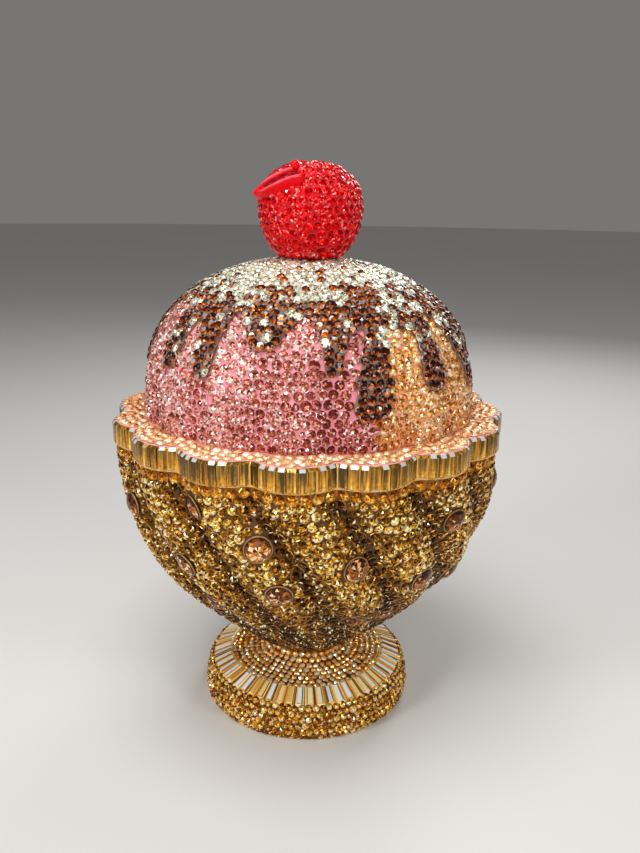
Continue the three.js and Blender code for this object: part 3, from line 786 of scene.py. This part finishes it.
# The grey top stops are painted reflection on the stones' flat tops.
brown_glass = glass("brown_glass", [
    (0.06, (28, 8, 4)), (0.38, (66, 22, 8)), (0.54, (122, 46, 6)), (0.68, (210, 94, 10)),
    (0.79, (244, 150, 46)), (0.84, (104, 92, 90)), (1.0, (186, 180, 180))], (148, 116, 98),
    spread=0.2, flecks=0.4)
clear_glass = glass("clear_glass", [
    (0.05, (94, 88, 60)), (0.3, (152, 146, 112)), (0.5, (204, 198, 166)), (0.66, (240, 234, 206)),
    (0.86, (255, 255, 240))], (228, 212, 186))
amber_glass = glass("amber_glass", [
    (0.05, (76, 36, 4)), (0.36, (156, 84, 8)), (0.66, (222, 140, 24)), (1.0, (255, 228, 124))],
    (210, 156, 76), metallic=0.55, gloss=0.05)
topaz_glass = glass("topaz_glass", [
    (0.05, (44, 20, 0)), (0.28, (98, 56, 2)), (0.5, (158, 96, 10)), (0.68, (220, 158, 36)),
    (0.83, (252, 230, 120)), (1.0, (255, 252, 222))], (180, 128, 62), metallic=0.55, gloss=0.03,
    spread=0.4)
foot_glass = glass("foot_glass", [
    (0.05, (88, 42, 0)), (0.26, (152, 86, 8)), (0.46, (214, 140, 26)), (0.62, (248, 196, 78)),
    (0.8, (255, 230, 142)), (1.0, (255, 250, 220))], (206, 142, 56), metallic=0.5, gloss=0.03,
    spread=0.5, flecks=1.15, fire=0.014)
# Brighter than foot_glass: painted light for the deck, which lies in the bowl's shade.
deck_glass = glass("deck_glass", [
    (0.05, (128, 60, 0)), (0.26, (212, 112, 12)), (0.46, (255, 154, 36)), (0.62, (255, 184, 74)),
    (0.8, (255, 204, 114)), (1.0, (255, 240, 200))], (238, 144, 50), metallic=0.6, gloss=0.0,
    spread=0.5, fire=0.006)
# The pale blue and white top stops are painted reflection.
foot_long_glass = glass("foot_long_glass", [
    (0.04, (112, 62, 14)), (0.2, (176, 112, 38)), (0.36, (236, 172, 78)), (0.56, (255, 212, 122)),
    (0.7, (255, 242, 184)), (0.8, (224, 246, 255)), (1.0, (255, 255, 255))], (190, 130, 56),
    metallic=0.0, spread=0.12, flecks=0.22)
cherry_glass = glass("cherry_glass", [
    (0.05, (118, 0, 2)), (0.32, (204, 0, 4)), (0.6, (252, 2, 6)), (0.86, (255, 34, 30)),
    (1.0, (255, 190, 180))], (244, 78, 92), metallic=0.6, gloss=0.02)
smoked_glass = glass("smoked_glass", [
    (0.05, (40, 14, 2)), (0.35, (98, 44, 8)), (0.6, (158, 84, 20)), (0.85, (214, 134, 50)),
    (1.0, (255, 230, 180))], (70, 40, 12), flecks=0.6)

# ---- the cuts

scoop_cut = round_cut(9, [(0.36, 0.3)])
small_cut = round_cut(8, [(0.4, 0.34)])
foot_cut = round_cut(7, [(0.44, 0.46)], 0.06, 0.16)
big_cut = round_cut(14, [(0.2, 0.1), (0.34, 0.13)], 0.06, 0.04)


# ---- foot

def make_foot():
    outline = FOOT_OUTLINE[:2] + rounded(FOOT_OUTLINE[1:-1], 4)[1:] + FOOT_OUTLINE[-1:]
    finished("foot_body", turned(outline, 120), foot_gold, ["foot"], smooth=True)
    flank, deck = Profile(FOOT_FLANK), Profile(FOOT_DECK)
    seats = set_by_hand(flank, plain, lambda z: FOOT_PITCH, 0.9, flank.length - 0.35, gap=-0.12,
                        looseness=0.4, uneven=0.07, shade=lambda seat: -0.07)
    set_stones("foot_round_stones", foot_cut, seats, foot_glass, tip=0.22,
               sparkle=0.07)
    # Painted light: the deck's stones are made brighter, though the bowl shades them.
    seats = set_by_hand(deck, plain, lambda z: FOOT_PITCH, 0.9, deck.length - 0.8, gap=-0.06,
                        looseness=0.07, uneven=0.05, shade=lambda seat: 0.21, rounds=0)
    set_stones("deck_round_stones", foot_cut, seats, deck_glass, tip=0.22,
               sparkle=0.05)


def make_foot_long_stones():
    """A ring of oblong stones that lie on the foot like rays."""
    (r0, z0), (r1, z1) = FOOT_LONG_INNER, FOOT_LONG_OUTER
    middle, height, length = (r0 + r1) / 2, (z0 + z1) / 2, math.hypot(r1 - r0, z1 - z0)
    width = TAU * middle / FOOT_LONG_STONES - 0.12
    bevels = [(0.26, 0.25, 0.3), (0.28, 0.3, 0.25), (0.34, 0.34, 0.15)]
    cut = long_cut(width, length, 0.7, bevels)
    for vert in cut.vertices:
        vert.co.x *= 1 + vert.co.y * 0.9 / middle
    seats, lit = [], []
    for k in range(FOOT_LONG_STONES):
        azimuth = TAU * (k + 0.5) / FOOT_LONG_STONES
        along = polar(r1, azimuth, z1) - polar(r0, azimuth, z0)
        out = along.cross(Vector((math.cos(azimuth), math.sin(azimuth), 0))).normalized()
        side = abs(abs((math.degrees(azimuth) + 180) % 360 - 180) - LIT_SIDE)
        # Painted reflection: white tops in the lit arcs, and on some stones elsewhere.
        lit.append(0.9 if side < LIT_HALF else
                   chance.choice([0.4, 0.56, 0.68, 0.72, 0.95, 0.95, 0.95]))
        seats.append(Seat(polar(middle, azimuth, height) - out, out, 1.0, down=along))
    table = width / 2 - sum(side for side, _, _ in bevels)
    reach = length / 2 - sum(end for _, end, _ in bevels)

    def glow(low, across):
        """Each narrow flat top, painted white on some stones for a reflection, lies between fine
        brown and light lines, with painted highlights at its ends.
        """
        sides = chance.choice([0.1, 0.22, 0.34, 0.44, 0.54, 0.66], low.shape)
        ends = chance.choice([0.3, 0.56, 0.68, 0.72], low.shape)
        rest = np.where(np.abs(low) > reach, ends, sides)
        on_top = (np.abs(across) < table) & (np.abs(low) < reach)
        return np.where(on_top, np.array(lit)[:, None], rest)
    set_stones("foot_long_stones", cut, seats, foot_long_glass, ["foot_baguettes"],
               tip=0.03, spin=False, glow=glow, sparkle=0.0, mottle=0.05)


# ---- bowl

def make_bowl():
    outline = [(r - SET_DEEP, z) for r, z in rounded(BOWL_OUTLINE, 6)]
    body = [(0, outline[0][1])] + outline + [(outline[-1][0], BOWL_TOP), (0, BOWL_TOP)]
    finished("bowl_body", turned(body, BODY_STEPS, swirled), bowl_gold, ["bowl"],
             smooth=True)
    skin = Profile(outline)
    spots = [(skin.from_height(height), math.radians(degrees)) for degrees, height in BIG_STONES]
    big = [seat_on(skin, swirled, along, azimuth, BIG_STONE) for along, azimuth in spots]
    centres = [np.array(skin.place(along, azimuth, plain)) for along, azimuth in spots]

    def hold_for(points, pitch):
        def hold(points):
            """Keeps the round stones clear of the large ones."""
            move = np.zeros_like(points)
            for centre in centres:
                away = points - centre
                distance = lengths_of(away)
                short = np.maximum(BIG_STONE + BIG_CLEAR + pitch / 2 - distance, 0)
                move += away * (0.7 * short / distance)[:, None]
            return move
        return hold

    def shade(seat):
        """Painted shade: darker in the valleys and towards the foot, where less light falls."""
        return (0.11 - 0.54 * (1 - bowl_lobe(seat.azimuth, seat.height))
                - 0.5 * fade(64 - seat.height, 0, 34))

    seats = set_by_hand(skin, swirled, lambda z: np.interp(z, [22, 40, 60], [2.4, 2.6, 2.8]),
                        0.9, skin.length - 0.3, gap=-0.16, looseness=0.5, uneven=0.07, small=0.03,
                        hold_for=hold_for, shade=shade)
    set_stones("bowl_round_stones", small_cut, seats, topaz_glass, tip=0.14,
               sparkle=0.06)
    make_settings("bowl_large_settings", big, BIG_STONE + 0.14, 0.26, 26, ring_gold)
    for seat in big:
        seat.point = seat.point + seat.out * 0.15
    set_stones("bowl_large_stones", big_cut, big, smoked_glass,
               ["bowl_stone_%02d" % (i + 1) for i in range(len(big))], tip=0.0, mottle=0.26,
               sparkle=0.05)


def make_settings(name, seats, radius, thickness, steps, finish):
    """Thin metal rings that hold stones."""
    ring = mesh_of("ring", hoop(radius, 0.1, thickness, 6, steps))
    places = [seat.matrix() @ Matrix.Scale(1 / seat.size, 4) for seat in seats]
    finished(name, copies(ring, places), finish, smooth=True)


# ---- rim

def make_collar():
    low, high = COLLAR
    band = [(0, low), (RIM_CREST - 1.9, low), (RIM_CREST - 1.5, (low + high) / 2),
            (RIM_CREST - 1.9, high + 0.3), (0, high + 0.3)]
    finished("collar_body", turned(band, BODY_STEPS, scalloped), collar_gold,
             ["rim_collar"])
    face = Profile([(RIM_CREST - 1.5, low), (RIM_CREST - 1.5, high)])
    count = LOBES * COLLAR_STONES
    seats = [seat_on(face, scalloped, (high - low) / 2, CUSP + TAU * (k + 0.5) / count,
                     COLLAR_STONE, down=DOWNWARDS) for k in range(count)]
    set_stones("collar_stones", scoop_cut, seats, amber_glass, tip=0.08)
    make_settings("collar_settings", seats, COLLAR_STONE, 0.1, 12, collar_gold)


def make_rim_stones():
    """Upright oblong stones all round the rim, edge to edge, on a gilded band."""
    low, high = RIM_LONG
    back = [(0, low), (RIM_CREST - 0.5, low), (RIM_CREST - 0.5, high - 0.9),
            (RIM_CREST - 1.4, high - 0.1), (0, high - 0.1)]
    finished("rim_body", turned(back, BODY_STEPS, scalloped), rim_gold)
    face = Profile([(RIM_CREST - 0.1, low), (RIM_CREST - 0.1, high)])
    count, middle = LOBES * RIM_LONG_STONES, (high - low) / 2
    cut = long_cut(1.0, high - low, 0.85, [(0.09, 0.75, 0.65)], (-0.37, 0.37))
    seats = []
    for k in range(count):
        left, right = (face.place(0, CUSP + TAU * (k + side) / count, scalloped) for side in (0, 1))
        seat = seat_on(face, scalloped, middle, CUSP + TAU * (k + 0.5) / count, 1.0,
                       down=DOWNWARDS, width=(right - left).length - 0.14)
        # Painted reflection: the stones towards the sides are lighter.
        seat.shade = 0.12 * abs(math.sin(seat.azimuth))
        seat.point = (left + right) / 2 + Vector((0, 0, middle)) - seat.out * 1.3
        seats.append(seat)

    # Painted highlights on the top bevels of most stones.
    crest = chance.choice([1.1, 0.86, 0.6], (count, 1), p=[0.52, 0.26, 0.22])

    def glow(low, across):
        """Painted light on the bevels: most along the top, less at the bottom and the sides."""
        aside = np.abs(across)
        top = np.where(aside < 0.6, crest, 0.6)
        body = np.where(aside > 1.05, 0.62, np.where(aside < 0.6, 0.3, 0.46))
        return np.where(low < -2.7, top, np.where(low > 2.7, 0.8, body))
    set_stones("rim_long_stones", cut, seats, rim_glass(), ["rim_baguettes"],
               tip=0.02, spin=False, glow=glow, sparkle=0.0, mottle=0.1)


def make_tray():
    top = [(0, TRAY_FLOOR), (RIM_CREST - 1.2, TRAY_FLOOR), (RIM_CREST - 1.4, TRAY_TOP - 0.3),
           (RIM_CREST - 1.9, TRAY_TOP - 0.15), (0, TRAY_TOP - 0.15)]
    finished("tray_body", turned(top, BODY_STEPS, scalloped), tray_clay,
             ["rim_tray"])
    tray = Profile([(RIM_CREST - 1.6, TRAY_TOP - 0.1), (RIM_CREST - 12.0, TRAY_TOP - 0.1)])
    seats = set_by_hand(tray, scalloped, lambda z: 2.85, 1.1, tray.length - 1, gap=-0.16,
                        looseness=0.25, uneven=0.05, shade=lambda seat: 0.07)
    seats = [seat for seat in seats if math.hypot(seat.point.x, seat.point.y) >
             fluted(SCOOP_RADIUS, seat.azimuth, SCOOP_BASE)[0] + 0.8]
    set_stones("tray_stones", scoop_cut, seats, tray_glass, tip=0.1)
    line = hoop(RIM_CREST - 1.3, TRAY_TOP - 0.35, 0.2, 8, LOBES * 16)
    finished("rim_line", warped(line, scalloped), rim_enamel, smooth=True)


# ---- scoop

def make_scoop():
    base = SCOOP_BASE - 0.6
    outline = [(0, base), (SCOOP_RADIUS - SET_DEEP, base)] + scoop_outline(-SET_DEEP)
    for name, side, finish in (("strawberry", 1, strawberry_clay), ("peach", -1, peach_clay)):
        bm = turned(outline, LOBES * 9, fluted)
        normal = Vector((math.cos(COLOURS_MEET), math.sin(COLOURS_MEET), 0)) * side
        sliced(bm, -normal * 0.02, normal, clear=True, near=TINY)
        filled(bm, bm.edges)
        finished(name + "_body", bm, finish, [name + "_scoop"], smooth=True)


def drip_sides(azimuth, lean, root, waist, tip, bottom):
    """Both edges of a drip as azimuth and height: down the left, round the tip, up the right."""
    shift = math.radians(lean) * SCOOP_RADIUS
    neck = bottom + tip
    drop = DRIP_ROOT - neck

    def bezier(side, t):
        """A point of one edge, to the side of the drip's middle, from its root down."""
        xs = (side * root, side * waist, shift * 0.5 + side * waist, shift + side * tip)
        zs = (DRIP_ROOT, DRIP_ROOT - drop * 0.25, neck + drop * 0.4, neck)
        weights = ((1 - t) ** 3, 3 * t * (1 - t) ** 2, 3 * t * t * (1 - t), t ** 3)
        return tuple(sum(w * p for w, p in zip(weights, ps)) for ps in (xs, zs))

    left, right = ([bezier(side, i / 16) for i in range(17)] for side in (-1, 1))
    round_tip = [(shift - tip * math.cos(a), neck - tip * math.sin(a))
                 for a in (math.pi * i / 12 for i in range(1, 12))]
    return [[(azimuth + math.degrees(math.asin(x / scoop_radius(z, 1))), z) for x, z in points]
            for points in (left, round_tip, right[::-1])]


def syrup_edge(near=0.4):
    """The lower edge of the syrup once round, as azimuth in radians and height. Each drip's sides
    stop near the arches beside it."""
    line = []
    arch = (DRIPS[-1][6] - 360, DRIPS[-1][7])
    for *shape, arch_azimuth, arch_height in DRIPS:
        left, tip, right = drip_sides(*shape)
        line += [p for p in left if p[0] > arch[0] + near and p[1] < arch[1] - near] + tip
        arch = (arch_azimuth, arch_height)
        line += [p for p in right if p[0] < arch[0] - near and p[1] < arch[1] - near]
        line.append(arch)
    return [(math.radians(a), z) for a, z in line]


class SyrupPlan:
    """The syrup laid out flat: azimuth times a set radius across, length up the scoop upwards."""
    ACROSS = 46.0  # the set radius
    ROUND = TAU * ACROSS  # once round the scoop
    STEP = 0.7  # between points of its edge

    def __init__(self):
        self.profile = Profile(scoop_outline(SYRUP_SKIN - SET_DEEP))
        points = [(a * self.ACROSS, self.profile.from_height(z)) for a, z in syrup_edge()]
        loop = np.array([(x + turn * self.ROUND, y) for turn in (-1, 0, 1) for x, y in points])
        steps = np.concatenate([[0], np.cumsum(np.hypot(*np.diff(loop, axis=0).T))])
        marks = np.arange(0, steps[-1], self.STEP)
        loop = np.stack([np.interp(marks, steps, loop[:, i]) for i in (0, 1)], 1)
        for _ in range(3):
            loop[1:-1] = (loop[:-2] + 2 * loop[1:-1] + loop[2:]) / 4
        self.line = loop[(loop[:, 0] > -0.62 * self.ROUND) & (loop[:, 0] < 0.92 * self.ROUND)]
        ends = [self.profile.at(y) for _, y in self.line]
        self.edge = np.array([polar(radius, x / self.ACROSS, height) for (x, _), (radius, height)
                              in zip(self.line, ends)])

    def covers(self, points):
        """Which of the places, as they are before the flutes are made, the syrup covers."""
        x = np.arctan2(points[:, 0], -points[:, 1]) * self.ACROSS
        x = np.where(x < self.line[0, 0] + 30, x + self.ROUND, x)
        y = np.interp(points[:, 2], self.profile.heights, self.profile.lengths)
        a, b = self.line[:-1], self.line[1:]
        x, y = x[:, None], y[:, None]
        crossing = (a[:, 0] > x) != (b[:, 0] > x)
        run = np.where(crossing, b[:, 0] - a[:, 0], 1)
        at = a[:, 1] + (x - a[:, 0]) / run * (b[:, 1] - a[:, 1])
        return (crossing & (at < y)).sum(1) % 2 == 1

    def hold_for(self, points, pitch):
        """Keeps each stone on its own side of the syrup's edge, and lines them up along it."""
        covered = self.covers(points)
        clear = np.where(covered, 0.5 * pitch - 0.7, 0.5 * pitch + 0.1)

        def hold(points):
            away = points[:, None] - self.edge
            nearest = np.linalg.norm(away, axis=2).argmin(1)
            away = away[np.arange(len(points)), nearest]
            distance = lengths_of(away)
            short = clear - distance
            drawn = np.where(covered & (distance < pitch), 0.1, 0) * short
            push = np.where(short > 0, 0.8 * short, drawn)
            return away * (push / distance)[:, None]
        return hold


def make_syrup(plan):
    """The syrup's skin, cut out flat with a rounded edge, then laid over the scoop."""
    bm = bmesh.new()
    lift = bm.verts.layers.float.new("lift")
    top = plan.profile.length - SYRUP_HOLE
    beyond = top + 2
    points = [(plan.line[0, 0], beyond), *map(tuple, plan.line), (plan.line[-1, 0], beyond)]
    face = bm.faces.new([bm.verts.new((x, y, 0)) for x, y in points])
    if face.normal.z < 0:
        face.normal_flip()
    for vert in bm.verts:
        vert[lift] = -0.15
    for width, height in ((0.22, 0.5), (0.3, 0.82), (0.4, 0.97), (0.5, 1.0)):
        ops.inset_region(bm, faces=[face], thickness=width, use_boundary=True, use_even_offset=True)
        for vert in face.verts:
            vert[lift] = height
    first = -plan.ROUND / 2
    sliced(bm, (first, 0, 0), (-1, 0, 0), clear=True)
    sliced(bm, (first + plan.ROUND, 0, 0), (1, 0, 0), clear=True)
    sliced(bm, (0, top, 0), (0, 1, 0), clear=True)
    for i in range(1, SYRUP_STRIPS):
        sliced(bm, (first + i / SYRUP_STRIPS * plan.ROUND, 0, 0), (1, 0, 0))
    for y in np.arange(plan.line[:, 1].min() + 1.5, top - 1, SYRUP_ROW):
        sliced(bm, (0, y, 0), (0, 1, 0))
    for vert in bm.verts:
        azimuth, along = vert.co.x / plan.ACROSS, vert.co.y
        slope = seat_on(plan.profile, fluted, along, azimuth, 1, rest=0.6).out
        vert.co = (plan.profile.place(along, azimuth, fluted)
                   - slope * (SYRUP_SKIN * (1 - vert[lift])))
    ops.remove_doubles(bm, verts=bm.verts, dist=0.01)
    filled(bm, [edge for edge in bm.edges
                if all(math.hypot(vert.co.x, vert.co.y) < 2 * SYRUP_HOLE for vert in edge.verts)])
    ops.recalc_face_normals(bm, faces=bm.faces)
    ops.solidify(bm, geom=bm.faces[:], thickness=0.3)
    finished("syrup_body", bm, syrup_finish(), ["chocolate_syrup"], smooth=True)


def make_dome_stones(plan):
    """The stones of both scoops and the smaller ones of the syrup, each on its side of the edge."""
    outer = plan.profile

    def painted_dome_light_and_shade(seat):
        """Painted shade and light: darker low in the middle beside the colours' seam and in the
        flutes, lighter to either side of the front.
        """
        degrees = math.degrees(seat.azimuth)
        painted_dark_patch = fade(degrees, -16, 8) * fade(24 - degrees, 0, 2) * fade(124 - seat.height, 0, 10)
        valley = (1 - lobe(seat.azimuth)) * fade(134 - seat.height, 0, 16)
        aside = fade(-degrees, 0, 30) + fade(degrees, 24, 30)
        return 0.14 * (aside - painted_dark_patch) - 0.2 * valley

    bare = set_by_hand(outer, fluted,
                       lambda z: np.interp(z, [100, 108, 116, 121], [2.7, 2.8, 3.05, 3.2]),
                       0.5, outer.from_height(DRIP_ROOT), gap=-0.18, looseness=0.5, uneven=0.04,
                       small=0.03, hold_for=plan.hold_for, shade=painted_dome_light_and_shade)
    covered = plan.covers(np.array([seat.point for seat in bare]))
    for side, name, finish in ((-1, "strawberry", strawberry_glass), (1, "peach", peach_glass)):
        seats = [seat for seat, hidden in zip(bare, covered)
                 if not hidden and side * math.sin(seat.azimuth - COLOURS_MEET) > 0]
        for seat in seats:
            seat.point = seat.point - seat.out * SYRUP_SKIN
        set_stones(name + "_round_stones", scoop_cut, seats, finish, tip=0.1,
                   sparkle=0.09, mottle=0.22)

    coated = set_by_hand(outer, fluted, lambda z: 2.75, outer.from_height(LOWEST_DRIP - 3),
                         outer.length - 8.0, gap=-0.26, looseness=0.5, uneven=0.05, crowding=0.91,
                         hold_for=plan.hold_for)
    covered = plan.covers(np.array([seat.point for seat in coated]))
    brown, clear = [], []
    for seat in [seat for seat, hidden in zip(coated, covered) if hidden]:
        (brown if chance.random() < np.interp(seat.height, *BROWN_SHARE) else clear).append(seat)
    set_stones("brown_round_stones", scoop_cut, brown, brown_glass, tip=0.14,
               glow=painted_table_reflections, sparkle=0.03, mottle=0.13)
    # Painted light: the lower facets brighter.
    set_stones("clear_round_stones", scoop_cut, clear, clear_glass, tip=0.14,
               glow=lambda low, across: 0.52 + 0.2 * low, mottle=0.34)


# ---- cherry

def make_cherry():
    base = CHERRY_BOTTOM - 0.4
    outline = [(0, base), (CHERRY_FLAT - SET_DEEP, base)] + cherry_outline(-SET_DEEP)
    finished("cherry_body", turned(outline, 72), cherry_clay, ["cherry"], smooth=True)
    skin = Profile(cherry_outline(-SET_DEEP)[:-2])
    seats = set_by_hand(skin, plain, lambda z: 2.75, 0.6, skin.length - 0.8, gap=-0.04,
                        looseness=0.5, uneven=0.06)
    leaf = [Vector(p) for p in rounded(LEAF_POINTS, 4)[3:]]
    seats = [seat for seat in seats if min((seat.point - p).length for p in leaf) > 2.1]
    set_stones("cherry_stones", scoop_cut, seats, cherry_glass, tip=0.14)


def make_leaf():
    """A curled leaf: a crumpled hollow with a rolled rim, its front side dropping to the cherry."""
    spine = [Vector(p) for p in rounded(LEAF_POINTS, 8)]
    across_open, across_shut = (
        np.array(rounded([(row[0], row[column]) for row in LEAF_SECTION], 2)) for column in (1, 2))
    heart = Vector((0, 0, CHERRY_MIDDLE))
    rows = len(across_open) - 1
    bm = bmesh.new()
    hollow, ridge = (bm.verts.layers.float.new(name) for name in ("hollow", "ridge"))
    ops.create_grid(bm, x_segments=40, y_segments=rows, size=1)
    for vert in bm.verts:
        along, across = (vert.co.x + 1) / 2, (vert.co.y + 1) / 2 * rows
        place = along * (len(spine) - 1)
        i = min(int(place), len(spine) - 2)
        middle = spine[i].lerp(spine[i + 1], place - i)
        tangent = (spine[i + 1] - spine[i]).normalized()
        out = middle - heart
        out = (out - tangent * out.dot(tangent)).normalized()
        opened = fade(along, 0.03, 0.14) * (1 - fade(along, 0.7, 0.86))
        j = min(int(across + 0.5), rows)
        down, rise = across_open[j] * opened + across_shut[j] * (1 - opened)
        narrow, thick = (float(np.interp(along, *table)) for table in (LEAF_WIDTH, LEAF_THICKNESS))
        inside = opened * fade(1.45 - rise, 0.1, 0.8) * (-0.8 < down < 1.2)
        # Painted shade and dents in the hollow, and a painted highlight on the rolled rim's crests.
        vert[hollow], vert[ridge] = inside, opened * fade(rise, 1.15, 1.5)
        wave = 0.2 * inside * math.sin(along * 31 + down * 2.6)
        vert.co = middle + out.cross(tangent) * down * narrow + out * ((rise + wave) * thick)
    ops.recalc_face_normals(bm, faces=bm.faces)
    ops.solidify(bm, geom=bm.faces[:], thickness=0.6)
    ops.recalc_face_normals(bm, faces=bm.faces)
    knob = ops.create_uvsphere(bm, u_segments=16, v_segments=10, radius=LEAF_KNOB_RADIUS)["verts"]
    ops.translate(bm, verts=knob, vec=LEAF_KNOB)
    leaf = finished("leaf", bm, leaf_enamel, ["cherry_leaf"], smooth=True)
    soft = leaf.modifiers.new("soft", "SUBSURF")
    soft.levels = soft.render_levels = 1


# ---- studio

def make_floor():
    bm = bmesh.new()
    ops.create_circle(bm, cap_ends=True, radius=4000, segments=64)
    mesh = mesh_of("floor", bm)
    mesh.transform(Matrix.Scale(MM, 4))
    recipe = Recipe("pale_floor", Roughness=0.6, Specular_IOR_Level=0.3)
    colour = recipe.mix(recipe.noise(3.0), tone(214, 212, 209), tone(222, 220, 217))
    mesh.materials.append(recipe.out(Base_Color=colour))
    floor = placed("floor", mesh)


def make_light(name, place, target, size, power):
    light = bpy.data.lights.new(name, "AREA")
    light.size, light.energy = size, power
    lamp = placed(name, light)
    lamp.location = place
    lamp.rotation_euler = (Vector(target) - Vector(place)).to_track_quat("-Z", "Y").to_euler()


def make_camera():
    camera = bpy.data.cameras.new("camera")
    camera.lens, camera.clip_start = FOCAL_PIXELS * SENSOR / PICTURE_HEIGHT, 0.01
    eye = placed("camera", camera)
    eye.matrix_world = (Matrix.Translation(Vector(CAMERA_PLACE) * MM)
                        @ Matrix.Rotation(math.pi / 2 - CAMERA_PITCH, 4, "X")
                        @ Matrix.Rotation(CAMERA_ROLL, 4, "Z"))
    bpy.context.scene.camera = eye


def make_world():
    world = bpy.data.worlds.new("studio")
    world.use_nodes = True
    backdrop = world.node_tree.nodes["Background"]
    backdrop.inputs["Color"].default_value = tone(206, 204, 202)
    backdrop.inputs["Strength"].default_value = 0.3
    bpy.context.scene.world = world


make_camera()
make_world()
make_floor()
for light in (("overhead", (-0.08, -0.14, 0.62), (0, 0, 0.08), 0.34, 2.25),
              ("left", (-0.5, -0.34, 0.34), (0, 0, 0.09), 0.16, 1.6),
              ("right", (0.48, -0.36, 0.3), (0, 0, 0.09), 0.12, 0.7),
              ("front", (0.06, -0.62, 0.2), (0, 0, 0.04), 0.24, 1.1),
              ("behind", (0.22, 0.5, 0.42), (0, 0, 0.1), 0.24, 1.2)):
    make_light(*light)
bpy.context.scene.view_settings.view_transform = "Standard"

make_foot()
make_foot_long_stones()
make_bowl()
make_collar()
make_rim_stones()
make_tray()
make_scoop()
syrup_plan = SyrupPlan()
make_syrup(syrup_plan)
make_dome_stones(syrup_plan)
make_cherry()
make_leaf()
